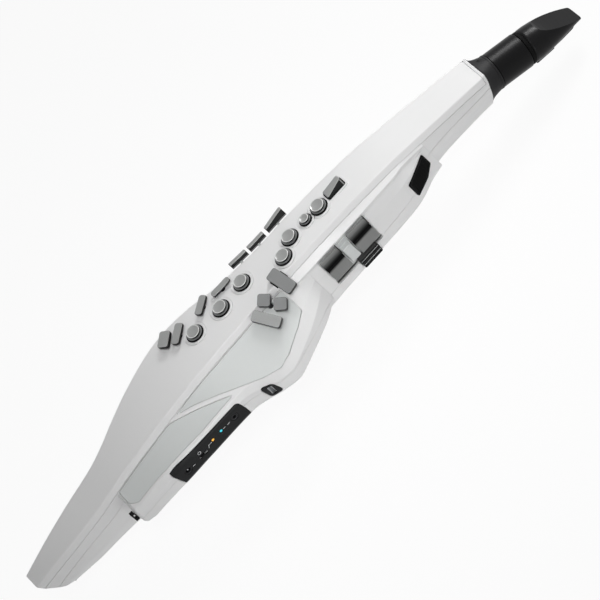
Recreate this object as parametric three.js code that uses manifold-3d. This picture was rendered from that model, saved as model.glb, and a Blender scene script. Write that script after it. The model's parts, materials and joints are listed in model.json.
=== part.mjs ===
// A digital wind controller, played like a saxophone: millimetres, +Z up through the keys.
// It lies on its back. X runs from the tail end to the mouthpiece tip, and -Y is the player's left.
import * as THREE from "three";
import { mergeVertices } from "three/addons/utils/BufferGeometryUtils.js";
import Module from "manifold-3d";

const wasm = await Module();
wasm.setup();

// Driving sizes
const instrumentLength = 574;
const bodyDepth = 86;
const bodyHalfWidth = 32;
const wall = 2.2;
const seam = 0.3;
const slotGap = 0.5;
const overrun = 2;
const keyTravel = 1.5;
const arcSteps = 2;
const innerSteps = 1;
const weldGap = 0.0001;
const roundSides = 20;

// Finishes
const finishes = {
  white: { color: 0xe9ebec, roughness: 0.35, metalness: 0 },
  silver: { color: 0xb9bec0, roughness: 0.45, metalness: 0.35 },
  key: { color: 0x97999b, roughness: 0.4, metalness: 0.15 },
  palm: { color: 0x7f8284, roughness: 0.3, metalness: 0.5 },
  black: { color: 0x1b1c1d, roughness: 0.4, metalness: 0 },
  rubber: { color: 0x222222, roughness: 0.8, metalness: 0 },
  mesh: { color: 0x101010, roughness: 0.7, metalness: 0.2 },
  steel: { color: 0xb8babc, roughness: 0.3, metalness: 1 },
  board: { color: 0x1f5b34, roughness: 0.6, metalness: 0 },
  cell: { color: 0x3f4a52, roughness: 0.5, metalness: 0.2 },
  silicone: { color: 0xc9c9c4, roughness: 0.7, metalness: 0 },
  window: { color: 0x0c0d10, roughness: 0.1, metalness: 0 },
};

const instrument = new THREE.Group();

// Solids from closed geometries, turned to face out
function solidOf(geometry, matrix = new THREE.Matrix4()) {
  const bare = geometry.clone().applyMatrix4(matrix);
  bare.deleteAttribute("normal");
  bare.deleteAttribute("uv");
  const merged = mergeVertices(bare, weldGap);
  const vertProperties = new Float32Array(merged.attributes.position.array);
  const triVerts = new Uint32Array(merged.index.array);
  if (signedVolume(vertProperties, triVerts) < 0) {
    for (let i = 0; i < triVerts.length; i += 3) {
      [triVerts[i + 1], triVerts[i + 2]] = [triVerts[i + 2], triVerts[i + 1]];
    }
  }
  return new wasm.Manifold(new wasm.Mesh({ numProp: 3, vertProperties, triVerts }));
}

function signedVolume(positions, triangles) {
  const corner = (i) => new THREE.Vector3().fromArray(positions, 3 * triangles[i]);
  let total = 0;
  for (let i = 0; i < triangles.length; i += 3) {
    total += corner(i).dot(corner(i + 1).cross(corner(i + 2)));
  }
  return total / 6;
}

function addNode(name, solid, finish) {
  const mesh = solid.getMesh();
  const geometry = new THREE.BufferGeometry();
  geometry.setAttribute("position", new THREE.BufferAttribute(mesh.vertProperties, 3));
  geometry.setIndex(new THREE.BufferAttribute(mesh.triVerts, 1));
  geometry.computeVertexNormals();
  const node = new THREE.Mesh(geometry, new THREE.MeshStandardMaterial(finishes[finish]));
  node.name = name;
  instrument.add(node);
}

function unionOf(solids) {
  return solids.reduce((whole, solid) => whole.add(solid));
}

// A frame at a place, with its own Z tipped about X and then turned about Z
function frameAt(x, y, z, tiltAboutX = 0, turnAboutZ = 0, tiltAboutY = 0) {
  const turn = new THREE.Euler(tiltAboutX, tiltAboutY, turnAboutZ, "ZYX");
  const quaternion = new THREE.Quaternion().setFromEuler(turn);
  return new THREE.Matrix4().compose(new THREE.Vector3(x, y, z), quaternion, new THREE.Vector3(1, 1, 1));
}

// A block from its lowest to its highest corner, in a frame
function block(low, high, matrix) {
  const size = high.map((value, axis) => value - low[axis]);
  const middle = high.map((value, axis) => (value + low[axis]) / 2);
  const box = new THREE.BoxGeometry(...size).translate(...middle);
  return solidOf(box, matrix);
}

// A turned solid about its own Z, from radius and height pairs that start and end on the axis
function turned(profile, matrix, sides = roundSides) {
  const points = profile.map(([radius, height]) => new THREE.Vector2(radius, height));
  const lathe = new THREE.LatheGeometry(points, sides).rotateX(Math.PI / 2);
  return solidOf(lathe, matrix);
}

function rod(radius, low, high, matrix, sides = roundSides) {
  return turned([[0, low], [radius, low], [radius, high], [0, high]], matrix, sides);
}

// A straight prism on an outline of corners, each with its own rounding
function prism(corners, low, high, matrix, steps = arcSteps) {
  const loop = roundedLoop(corners, steps);
  return loftOf([
    loop.map(([x, y]) => [x, y, low]),
    loop.map(([x, y]) => [x, y, high]),
  ], matrix);
}

// A closed outline whose corners [a, b, radius] become arcs of a fixed number of points
const cornerReachShare = 0.47;
function roundedLoop(corners, steps = arcSteps) {
  const loop = [];
  corners.forEach(([a, b, radius], i) => {
    const before = corners[(i + corners.length - 1) % corners.length];
    const after = corners[(i + 1) % corners.length];
    const here = new THREE.Vector2(a, b);
    const back = new THREE.Vector2(before[0] - a, before[1] - b);
    const on = new THREE.Vector2(after[0] - a, after[1] - b);
    const reach = Math.min(back.length(), on.length()) * cornerReachShare;
    back.normalize();
    on.normalize();
    const half = Math.acos(THREE.MathUtils.clamp(back.dot(on), -1, 1)) / 2;
    const pull = Math.min(radius / Math.tan(half), reach);
    const start = here.clone().addScaledVector(back, pull);
    const end = here.clone().addScaledVector(on, pull);
    const stops = radius > 0 ? steps : 0;
    for (let step = 0; step <= stops; step++) {
      const t = stops > 0 ? step / stops : 0;
      const p = start.clone().multiplyScalar((1 - t) ** 2);
      p.addScaledVector(here, 2 * t * (1 - t)).addScaledVector(end, t ** 2);
      loop.push([p.x, p.y]);
    }
  });
  return loop;
}

// The same corners moved inward by an even wall
function insetCorners(corners, depth) {
  const area = corners.reduce((sum, [a, b], i) => {
    const next = corners[(i + 1) % corners.length];
    return sum + a * next[1] - b * next[0];
  }, 0);
  const side = Math.sign(area);
  return corners.map(([a, b, radius], i) => {
    const before = corners[(i + corners.length - 1) % corners.length];
    const after = corners[(i + 1) % corners.length];
    const into = new THREE.Vector2(a - before[0], b - before[1]).normalize();
    const out = new THREE.Vector2(after[0] - a, after[1] - b).normalize();
    const normal = new THREE.Vector2(-into.y - out.y, into.x + out.x).multiplyScalar(side);
    const length = depth / (normal.lengthSq() / 2);
    const round = radius > 0 ? Math.max(radius - depth, depth / 4) : 0;
    return [a + normal.x * length, b + normal.y * length, round];
  });
}

// A solid through a row of closed rings of 3-D points, closed at each end by a fan from the ring's middle
function loftOf(rings, matrix) {
  const count = rings[0].length;
  const points = rings.flat();
  const indices = [];
  for (let ring = 0; ring + 1 < rings.length; ring++) {
    for (let i = 0; i < count; i++) {
      const a = ring * count + i;
      const b = ring * count + (i + 1) % count;
      indices.push(a, b, b + count, a, b + count, a + count);
    }
  }
  const last = (rings.length - 1) * count;
  const [startMiddle, endMiddle] = [points.length, points.length + 1];
  points.push(middleOf(rings[0]), middleOf(rings.at(-1)));
  for (let i = 0; i < count; i++) {
    const next = (i + 1) % count;
    indices.push(startMiddle, next, i, endMiddle, last + i, last + next);
  }
  const geometry = new THREE.BufferGeometry();
  geometry.setAttribute("position", new THREE.Float32BufferAttribute(points.flat(), 3));
  geometry.setIndex(indices);
  return solidOf(geometry, matrix);
}

const middleOf = (ring) => [0, 1, 2].map((axis) => ring.reduce((sum, p) => sum + p[axis], 0) / ring.length);

// A smooth line through share pairs, level at its crests: place along from the tail, value in shares
function lineThrough(shares, unit) {
  const slope = (i) => {
    const before = shares[Math.max(i - 1, 0)];
    const after = shares[Math.min(i + 1, shares.length - 1)];
    const inside = i > 0 && i < shares.length - 1;
    const crest = inside && (after[1] - shares[i][1]) * (shares[i][1] - before[1]) <= 0;
    return crest ? 0 : (after[1] - before[1]) / (after[0] - before[0]);
  };
  return (x) => {
    const place = THREE.MathUtils.clamp(x / instrumentLength + 1 / 2, shares[0][0], shares.at(-1)[0]);
    const next = Math.min(Math.max(shares.findIndex(([p]) => p >= place), 1), shares.length - 1);
    const [[p0, v0], [p1, v1]] = [shares[next - 1], shares[next]];
    const span = p1 - p0;
    const t = (place - p0) / span;
    const bend = (2 * t ** 3 - 3 * t ** 2 + 1) * v0 + (3 * t ** 2 - 2 * t ** 3) * v1;
    const swing = (t ** 3 - 2 * t ** 2 + t) * slope(next - 1) + (t ** 3 - t ** 2) * slope(next);
    return unit * (bend + swing * span);
  };
}

const xAt = (share) => (share - 1 / 2) * instrumentLength;

// Body lines: deck height, deck edges, back and parting, each against the place along the instrument
const deckShares = [
  [0, 0.471], [0.014, 0.49], [0.115, 0.621], [0.19, 0.777], [0.265, 0.907], [0.341, 0.985],
  [0.429, 0.997], [0.517, 1], [0.567, 0.993], [0.642, 0.97], [0.693, 0.93], [0.756, 0.845],
  [0.831, 0.752], [0.854, 0.721],
];
const rightEdgeShares = [
  [0, 0.22], [0.014, 0.235], [0.115, 0.375], [0.19, 0.5], [0.265, 0.625], [0.341, 0.67],
  [0.429, 0.625], [0.517, 0.578], [0.567, 0.56], [0.642, 0.545], [0.693, 0.5], [0.756, 0.42],
  [0.831, 0.353], [0.854, 0.33],
];
const leftEdgeShares = [
  [0, 0.25], [0.014, 0.29], [0.064, 0.428], [0.115, 0.495], [0.16, 0.47], [0.19, 0.53], [0.215, 0.634],
  [0.265, 0.81], [0.316, 0.93], [0.341, 0.94], [0.391, 0.85], [0.429, 0.69], [0.517, 0.535],
  [0.567, 0.56], [0.693, 0.53], [0.756, 0.525], [0.831, 0.484], [0.854, 0.46],
];
const leftFlankShares = [
  [0, 0.4], [0.064, 0.56], [0.115, 0.68], [0.16, 0.86], [0.215, 1.24], [0.265, 1.31], [0.391, 1.31],
  [0.429, 1.2], [0.517, 0.98], [0.567, 0.87], [0.693, 0.74], [0.756, 0.68], [0.854, 0.6],
];
const rightFlankShares = [
  [0, 0.36], [0.014, 0.38], [0.115, 0.52], [0.19, 0.64], [0.517, 0.7], [0.693, 0.65], [0.756, 0.58],
  [0.854, 0.48],
];
const backShares = [
  [0, 0.09], [0.044, 0.06], [0.077, 0.045], [0.139, 0.025], [0.2, 0.003], [0.215, 0], [0.405, 0],
  [0.42, 0.04], [0.444, 0.18], [0.47, 0.222], [0.517, 0.235], [0.567, 0.248], [0.642, 0.28],
  [0.693, 0.34], [0.756, 0.425], [0.854, 0.39],
];
const backRightShares = [
  [0, 0.1], [0.139, 0.12], [0.215, 0.25], [0.409, 0.25], [0.517, 0.36], [0.693, 0.45], [0.854, 0.38],
];
const backLeftShares = [
  [0, 0.18], [0.115, 0.3], [0.16, 0.5], [0.215, 1.06], [0.409, 1.06], [0.46, 0.9], [0.517, 0.66],
  [0.693, 0.5], [0.854, 0.5],
];
const partingShares = [
  [0, 0.314], [0.026, 0.349], [0.089, 0.424], [0.139, 0.488], [0.169, 0.581], [0.225, 0.69],
  [0.354, 0.709], [0.422, 0.69], [0.467, 0.65], [0.507, 0.57], [0.521, 0.523], [0.567, 0.531],
  [0.667, 0.564], [0.706, 0.593], [0.74, 0.674], [0.854, 0.61],
];
const deckHeight = lineThrough(deckShares, bodyDepth);
const rightEdge = lineThrough(rightEdgeShares, bodyHalfWidth);
const leftEdge = lineThrough(leftEdgeShares, bodyHalfWidth);
const leftFlank = lineThrough(leftFlankShares, bodyHalfWidth);
const rightFlank = lineThrough(rightFlankShares, bodyHalfWidth);
const backHeight = lineThrough(backShares, bodyDepth);
const backRight = lineThrough(backRightShares, bodyHalfWidth);
const backLeft = lineThrough(backLeftShares, bodyHalfWidth);
const partingHeight = lineThrough(partingShares, bodyDepth);

// Core body: a slim horn with a soft deck edge, a bevel under it and a rounded back
const core = {
  bevelOut: 3.1, bevelDrop: 4.4, edgeRound: 1.6, bevelRound: 1.2, flankRound: 14, backRound: 10,
};
const tail = { endX: xAt(0), startX: xAt(0.0819), lean: 0.76 };
const head = { endX: xAt(0.8585), startX: xAt(0.8223), lean: 0.36, rim: 2.5 };

const grooveHeight = (x) => deckHeight(x) - core.bevelDrop;
const waistShare = 0.52;

function coreCorners(x) {
  const deck = deckHeight(x);
  const back = backHeight(x);
  const waist = back + waistShare * (grooveHeight(x) - back);
  return [
    [-rightEdge(x), deck, core.edgeRound],
    [leftEdge(x), deck, core.edgeRound],
    [leftEdge(x) + core.bevelOut, grooveHeight(x), core.bevelRound],
    [leftFlank(x), waist, core.flankRound],
    [backLeft(x), back, core.backRound],
    [-backRight(x), back, core.backRound],
    [-rightFlank(x), waist, core.flankRound],
    [-rightEdge(x) - core.bevelOut, grooveHeight(x), core.bevelRound],
  ];
}

// The ends are cut aslant: a ring leans along X with its height below the deck
function leanAt(x) {
  const atTail = THREE.MathUtils.clamp((tail.startX - x) / (tail.startX - tail.endX), 0, 1);
  const atHead = THREE.MathUtils.clamp((x - head.startX) / (head.endX - head.startX), 0, 1);
  return tail.lean * atTail - head.lean * atHead;
}

const leaned = (x, z) => x + leanAt(x) * (deckHeight(x) - z);

function ringAt(x, corners, steps = arcSteps) {
  return roundedLoop(corners, steps).map(([y, z]) => [leaned(x, z), y, z]);
}

const coreStationShares = [
  0.014, 0.077, 0.115, 0.139, 0.166, 0.19, 0.215, 0.24, 0.265, 0.29, 0.316, 0.341, 0.375, 0.405,
  0.42, 0.432, 0.444, 0.47, 0.517, 0.567, 0.642, 0.667, 0.693, 0.72, 0.756, 0.831,
];
const coreStations = coreStationShares.map(xAt);

function coreLoft(depth) {
  const places = [tail.endX + depth, ...coreStations, head.endX - depth];
  return loftOf(places.map((x) => {
    const corners = coreCorners(x);
    return depth > 0 ? ringAt(x, insetCorners(corners, depth), innerSteps) : ringAt(x, corners);
  }));
}

// Wing: the left-hand table and the control box behind it. Lines against the place along the instrument
const wingEdgeShares = [
  [0.157, 1.19], [0.166, 1.28], [0.19, 1.4], [0.225, 1.515], [0.275, 1.578], [0.354, 1.578], [0.378, 1.64],
  [0.399, 1.81], [0.422, 1.856], [0.441, 1.734], [0.467, 1.484], [0.491, 1.22], [0.507, 1.047], [0.525, 0.9],
];
const wingEdgeHeightShares = [
  [0.157, 0.663], [0.166, 0.672], [0.19, 0.73], [0.225, 0.791], [0.275, 0.808], [0.354, 0.82], [0.378, 0.812],
  [0.399, 0.785], [0.422, 0.781], [0.441, 0.791], [0.467, 0.797], [0.507, 0.797],
];
const wingOuterShares = [
  [0.157, 1.28], [0.166, 1.39], [0.19, 1.53], [0.225, 1.656], [0.275, 1.672], [0.354, 1.675], [0.378, 1.8],
  [0.399, 1.945], [0.422, 2.01], [0.441, 1.9], [0.467, 1.68], [0.491, 1.42], [0.507, 1.21], [0.525, 0.95],
];
const wingOuterHeightShares = [
  [0.157, 0.628], [0.166, 0.628], [0.19, 0.68], [0.225, 0.756], [0.275, 0.773], [0.354, 0.773],
  [0.399, 0.721],
  [0.422, 0.709], [0.507, 0.698],
];
const wingFootHeightShares = [
  [0.157, 0.488], [0.166, 0.483], [0.19, 0.535], [0.225, 0.587], [0.354, 0.588], [0.399, 0.581],
  [0.422, 0.567],
  [0.467, 0.547], [0.507, 0.5],
];
const wingEdge = lineThrough(wingEdgeShares, bodyHalfWidth);
const wingEdgeHeight = lineThrough(wingEdgeHeightShares, bodyDepth);
const wingOuter = lineThrough(wingOuterShares, bodyHalfWidth);
const wingOuterHeight = lineThrough(wingOuterHeightShares, bodyDepth);
const wingFootHeight = lineThrough(wingFootHeightShares, bodyDepth);
const wing = {
  tailX: xAt(0.1568), headX: xAt(0.5244), inner: 4, edgeRound: 2.5, outerRound: 3, footRound: 5, flare: 0.6,
  endRound: 5,
};
const grooveOut = (x) => rightEdge(x) + core.bevelOut;

function wingCorners(x) {
  const back = backHeight(x) + wall;
  return [
    [-wing.inner, grooveHeight(x), 0],
    [-grooveOut(x), grooveHeight(x), 0],
    [-wingEdge(x), wingEdgeHeight(x), wing.edgeRound],
    [-wingOuter(x), wingOuterHeight(x), wing.outerRound],
    [-wingOuter(x) - wing.flare, wingFootHeight(x), wing.footRound],
    [-wing.inner - backRight(x), back, 0],
    [-wing.inner, back, 0],
  ];
}

const wingStationShares = [
  0.166, 0.178, 0.19, 0.207, 0.225, 0.25, 0.275, 0.314, 0.354, 0.366, 0.378, 0.389, 0.399, 0.41, 0.422,
  0.431, 0.441, 0.454, 0.467, 0.479, 0.491, 0.507, 0.516,
];

// The tail end of the box is rounded off by two drawn-in rings
const wingEndShares = [[0, 0.7], [0.3, 0.25]];

function wingLoft(depth, steps = arcSteps) {
  const end = wing.endRound;
  const rounding = wingCorners(wing.tailX + end);
  const rings = wingEndShares.map(([reach, pull]) => {
    return ringAt(wing.tailX + end * reach + depth, insetCorners(rounding, end * pull + depth), steps);
  });
  const places = wingStationShares.map(xAt).filter((x) => x > wing.tailX + end / 2 + depth);
  for (const x of [...places, wing.headX - depth]) {
    rings.push(ringAt(x, insetCorners(wingCorners(x), depth), steps));
  }
  return loftOf(rings);
}

// Left-hand housing: the block under the palm keys, which narrows to the neck behind the speaker grille
const hand = {
  tailX: xAt(0.4895), headX: xAt(0.7404), inner: 4, stepIn: 0.5, stepDrop: 3.2, edgeRound: 0.8,
  softRound: 3, footRound: 6,
  footOut: 30, shoulderOut: 29, stripOut: 26.8, stripDrop: 8.4, shoulderDrop: 21.3, footDrop: 51,
};
const handWidthShares = [
  [0.49, 1], [0.667, 0.965], [0.689, 0.93], [0.706, 0.86], [0.73, 0.7], [0.741, 0.64],
];
const handStripShares = [[0.49, 1], [0.64, 0.98], [0.68, 0.9], [0.702, 0.78], [0.741, 0.7]];
const handRiseShares = [[0.49, 0], [0.567, 0.035], [0.667, 0.05], [0.689, 0.06], [0.72, 0.12], [0.741, 0.13]];
const handWidth = lineThrough(handWidthShares, hand.footOut);
const handStrip = lineThrough(handStripShares, hand.stripOut);
const handRise = lineThrough(handRiseShares, hand.footDrop);
const shoulderRiseShares = [[0.49, 0], [0.667, -0.01], [0.706, 0.02], [0.741, 0.06]];
const shoulderRise = lineThrough(shoulderRiseShares, hand.footDrop);
const deckTop = bodyDepth;

function handCorners(x) {
  const stripZ = Math.min(deckTop - hand.stripDrop + shoulderRise(x), grooveHeight(x) - hand.stepDrop / 2);
  const shoulderZ = deckTop - hand.shoulderDrop + shoulderRise(x);
  const shoulder = Math.max(handWidth(x) - (hand.footOut - hand.shoulderOut), grooveOut(x));
  const foot = deckTop - hand.footDrop + handRise(x);
  return [
    [-hand.inner, grooveHeight(x), 0],
    [-grooveOut(x), grooveHeight(x), 0],
    [-Math.max(handStrip(x), grooveOut(x) + hand.stepIn), stripZ, hand.edgeRound],
    [-Math.max(handStrip(x) - hand.stepIn, grooveOut(x)), stripZ - hand.stepDrop, hand.edgeRound],
    [-shoulder, shoulderZ, hand.softRound],
    [-handWidth(x), foot, hand.footRound],
    [-hand.inner - backRight(x), backHeight(x) + wall, 0],
    [-hand.inner, backHeight(x) + wall, 0],
  ];
}

const handStationShares = [
  0.5, 0.517, 0.54, 0.567, 0.605, 0.642, 0.667, 0.68, 0.689, 0.702, 0.712, 0.722, 0.732,
];

function handLoft(depth) {
  const places = [hand.tailX + depth, ...handStationShares.map(xAt), hand.headX - depth];
  return loftOf(places.map((x) => {
    const corners = handCorners(x);
    const plain = corners.filter((corner, i) => i !== 3);
    return depth > 0 ? ringAt(x, insetCorners(plain, depth), innerSteps) : ringAt(x, corners);
  }));
}

const bodyShell = unionOf([coreLoft(0), wingLoft(0), handLoft(0)]);
const cavity = unionOf([coreLoft(wall), wingLoft(wall, innerSteps), handLoft(wall)]);
const shell = bodyShell.subtract(cavity);

// A region along the whole instrument, from rings of four corners [y, z]
function regionOf(fromX, toX, cornersAt) {
  const places = [fromX, ...coreStations.filter((x) => x > fromX && x < toX), toX];
  return loftOf(places.map((x) => cornersAt(x).map(([y, z]) => [leaned(x, z), y, z])));
}

// The front cover ends a rim short of the neck; above the groove all is front cover
function deckRegion(grow) {
  return regionOf(tail.endX - overrun, head.endX - head.rim + grow, (x) => [
    [-grooveOut(x) - grow, grooveHeight(x) + seam / 2 - grow],
    [leftEdge(x) + core.bevelOut + grow, grooveHeight(x) + seam / 2 - grow],
    [leftEdge(x) + core.bevelOut + grow, bodyDepth + overrun],
    [-grooveOut(x) - grow, bodyDepth + overrun],
  ]);
}

function backRegion(grow) {
  return regionOf(tail.endX - overrun, head.endX + overrun, (x) => [
    [-bodyDepth, -overrun],
    [bodyDepth, -overrun],
    [bodyDepth, partingHeight(x) - seam / 2 + grow],
    [-bodyDepth, partingHeight(x) - seam / 2 + grow],
  ]);
}

const frontCover = shell.intersect(deckRegion(0));
const sideCasing = shell.subtract(deckRegion(seam)).subtract(backRegion(seam));
const rearCover = shell.intersect(backRegion(0)).subtract(deckRegion(seam));

// Frames on the body: the deck, the left-hand table, the right bevel, the side walls and the back
function basisFrame(origin, along, outward) {
  const side = new THREE.Vector3().crossVectors(outward, along).normalize();
  const basis = new THREE.Matrix4().makeBasis(along.clone().normalize(), side, outward.clone().normalize());
  return basis.setPosition(origin);
}

const deckFrame = (x, y, turn = 0) => frameAt(x, y, deckHeight(x), 0, turn);
const xAxis = new THREE.Vector3(1, 0, 0);

function backFrame(x, y) {
  const reach = wall;
  const slope = (backHeight(x + reach) - backHeight(x - reach)) / (2 * reach);
  const origin = new THREE.Vector3(x, y, backHeight(x));
  return basisFrame(origin, new THREE.Vector3(1, 0, slope), new THREE.Vector3(slope, 0, -1));
}

// Local X runs along the wall, local Z points out of it to the player's left
function leftWallFrame(x, y, z, turn = 0) {
  const along = new THREE.Vector3(Math.cos(turn), Math.sin(turn), 0);
  return basisFrame(new THREE.Vector3(x, y, z), along, new THREE.Vector3(Math.sin(turn), -Math.cos(turn), 0));
}

// A key cap: a plan outline with a chamfered top, on a stem. Heights are over the frame's own plane
function capOn(corners, low, high, chamfer, stem, matrix) {
  const loop = roundedLoop(corners);
  const drawn = roundedLoop(insetCorners(corners, chamfer));
  const rings = [[loop, low], [loop, high - chamfer], [drawn, high]];
  const cap = loftOf(rings.map(([ring, z]) => ring.map(([x, y]) => [x, y, z])), matrix);
  const post = matrix.clone().multiply(new THREE.Matrix4().makeTranslation(stem.x, stem.y, 0));
  return cap.add(rod(stem.radius, stem.foot, low + chamfer, post, stemSides));
}

// An upright rectangle or parallelogram as corners, from its length, width and skew
function slantedCorners(length, width, skew, radius) {
  const [half, side, slip] = [length / 2, width / 2, skew / 2];
  return [
    [-half, -side - slip, radius], [half, -side + slip, radius],
    [half, side + slip, radius], [-half, side - slip, radius],
  ];
}

const stemSides = 10;
const stemRadius = 1.8;
const stemHole = stemRadius + slotGap;
const keyWell = { depth: 2.1, margin: 0.8, floor: 1.4, lift: 0.2, rise: 0.5, edge: 0.3 };

// Round front keys: dished caps on dark skirts, each in a well inside a raised ring on the deck
const roundKey = {
  rise: 3.8, dish: 0.7, rim: 0.9, capRadius: 5.8, skirtRadius: 7.4, skirtTop: 1.4, stemFoot: -8.1,
};
const roundKeyShares = [
  ["key_b", 0.5953, 0.031, 1],
  ["key_bis", 0.572, 0.044, 0.7],
  ["key_a", 0.5424, 0.022, 1],
  ["key_g", 0.5192, -0.244, 1],
  ["key_f", 0.4601, 0.166, 1],
  ["key_e", 0.4186, 0.109, 1],
  ["key_d", 0.3733, 0.188, 1],
];
const deckCuts = [];
const deckPads = [];
const domePlaces = [];
for (const [name, along, across, sizeShare] of roundKeyShares) {
  const [x, y] = [xAt(along), across * bodyHalfWidth];
  const place = deckFrame(x, y);
  const [cap, skirt] = [roundKey.capRadius * sizeShare, roundKey.skirtRadius * sizeShare];
  addNode(name, turned([
    [0, roundKey.rise - roundKey.dish],
    [cap - 2 * roundKey.rim, roundKey.rise - roundKey.dish / 2],
    [cap - roundKey.rim, roundKey.rise],
    [cap, roundKey.rise - roundKey.dish / 2],
    [skirt, roundKey.skirtTop],
    [skirt, -keyWell.lift],
    [stemRadius, -keyWell.lift],
    [stemRadius, roundKey.stemFoot],
    [0, roundKey.stemFoot],
  ], place), "key");
  const ringRadius = skirt + keyWell.margin + keyWell.floor;
  deckPads.push(turned([
    [0, -keyWell.depth - keyWell.floor], [ringRadius, -keyWell.depth - keyWell.floor],
    [ringRadius, keyWell.rise - keyWell.edge], [ringRadius - keyWell.edge, keyWell.rise], [0, keyWell.rise],
  ], place));
  deckCuts.push(rod(skirt + keyWell.margin, -keyWell.depth, roundKey.rise, place));
  deckCuts.push(rod(stemHole, roundKey.stemFoot, roundKey.rise, place, stemSides));
  domePlaces.push([x, y]);
}

// Front F key: a wedge that climbs towards the neck, its near side leaning in, in the same run of rings
const centreStem = (foot) => ({ x: 0, y: 0, radius: stemRadius, foot });
const frontFShares = { along: 0.6252, across: 0.0766 };
const frontF = { length: 16, width: 7.9, tailRise: 3, headRise: 5, leanIn: 2.9, chamfer: 0.5, corner: 1.2 };
const frontFPlace = deckFrame(xAt(frontFShares.along), frontFShares.across * bodyHalfWidth);
const frontFCorners = slantedCorners(frontF.length, frontF.width, 0, frontF.corner);
const frontFTop = frontFCorners.map(([x, y, round]) => [x, x > 0 && y < 0 ? y + frontF.leanIn : y, round]);
const frontFRing = (corners, drop) => roundedLoop(corners).map(([x, y]) => {
  const climb = (x / frontF.length + 1 / 2) * (frontF.headRise - frontF.tailRise);
  return [x, y, frontF.tailRise + climb - drop];
});
addNode("key_front_f", loftOf([
  roundedLoop(frontFCorners).map(([x, y]) => [x, y, -keyWell.lift]),
  frontFRing(frontFTop, frontF.chamfer),
  frontFRing(insetCorners(frontFTop, frontF.chamfer), 0),
], frontFPlace).add(rod(stemRadius, roundKey.stemFoot, 0, frontFPlace, stemSides)), "key");
const frontFWell = insetCorners(frontFCorners, -keyWell.margin);
const frontFPad = insetCorners(frontFCorners, -keyWell.margin - keyWell.floor);
deckPads.push(prism(frontFPad, -keyWell.depth - keyWell.floor, keyWell.rise, frontFPlace));
deckCuts.push(prism(frontFWell, -keyWell.depth, frontF.headRise, frontFPlace));
deckCuts.push(rod(stemHole, roundKey.stemFoot, frontF.headRise, frontFPlace, stemSides));
domePlaces.push([xAt(frontFShares.along), frontFShares.across * bodyHalfWidth]);

// Right-hand keys near the right deck edge: a bar, a slanted bar, and the two little-finger keys
const rightKey = { length: 17.6, width: 9, lift: 2.3, rise: 5, chamfer: 0.8, corner: 1.6 };
const rightKeyShares = [
  ["key_side_bar", 0.4378, 0.485, 1, 0.6, 0, 0.72],
  ["key_high_f_sharp", 0.4042, 0.54, 0.91, 0.69, 35, 0.9],
  ["key_e_flat", 0.3577, 0.49, 0.966, 0.756, 38, 0.9],
  ["key_low_c", 0.3411, 0.66, 0.761, 1, 42, 1.05],
];
for (const [name, along, across, lengthShare, widthShare, turn, riseShare] of rightKeyShares) {
  const place = deckFrame(xAt(along), across * bodyHalfWidth, THREE.MathUtils.degToRad(turn));
  const [length, width] = [rightKey.length * lengthShare, rightKey.width * widthShare];
  const corners = slantedCorners(length, width, 0, rightKey.corner);
  const stem = centreStem(roundKey.stemFoot);
  const cap = capOn(corners, rightKey.lift, rightKey.rise * riseShare, rightKey.chamfer, stem, place);
  addNode(name, cap, "key");
  deckCuts.push(rod(stemHole, roundKey.stemFoot, rightKey.rise, place, stemSides));
  domePlaces.push([xAt(along), across * bodyHalfWidth]);
}

// Left little-finger table: flat keys in one plane that falls outward, above the wing
const table = {
  across: -0.731, rise: 2, slope: 21.3, length: 22.4, width: 10, thickness: 4, chamfer: 0.7, corner: 2,
  stemFoot: -14,
};
const tableTilt = THREE.MathUtils.degToRad(table.slope);
const tableCuts = [];
const tableKeyShares = [
  ["key_g_sharp", 0.4953, 0.027, 0.964, 1, 98, [0.6, 0]],
  ["key_c_sharp", 0.4626, 0.022, 0.429, 0.94, -48, [0.34, -0.26]],
  ["key_low_b", 0.4734, -0.473, 0.438, 0.96, -44, [0, 0]],
  ["key_low_b_flat", 0.4476, -0.473, 1, 0.86, -63, [0.2, 0]],
];
for (const [name, along, outShare, lengthShare, widthShare, turn, stemAt] of tableKeyShares) {
  const angle = THREE.MathUtils.degToRad(turn);
  const plane = frameAt(xAt(along), table.across * bodyHalfWidth, bodyDepth + table.rise, tableTilt);
  const spot = new THREE.Matrix4().makeRotationZ(angle).setPosition(0, outShare * table.length, 0);
  const place = plane.multiply(spot);
  const corners = slantedCorners(table.length * lengthShare, table.width * widthShare, 0, table.corner);
  const lean = turn > 0 ? -table.width : table.width;
  const stem = { x: lean * stemAt[0], y: table.width * stemAt[1], radius: stemRadius, foot: table.stemFoot };
  addNode(name, capOn(corners, -table.thickness, 0, table.chamfer, stem, place), "key");
  const deep = -table.thickness - keyTravel - seam;
  tableCuts.push(prism(insetCorners(corners, -slotGap), deep, table.thickness, place));
  const hole = place.clone().multiply(new THREE.Matrix4().makeTranslation(stem.x, stem.y, 0));
  tableCuts.push(rod(stemHole, 2 * table.stemFoot, 0, hole, stemSides));
}

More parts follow.
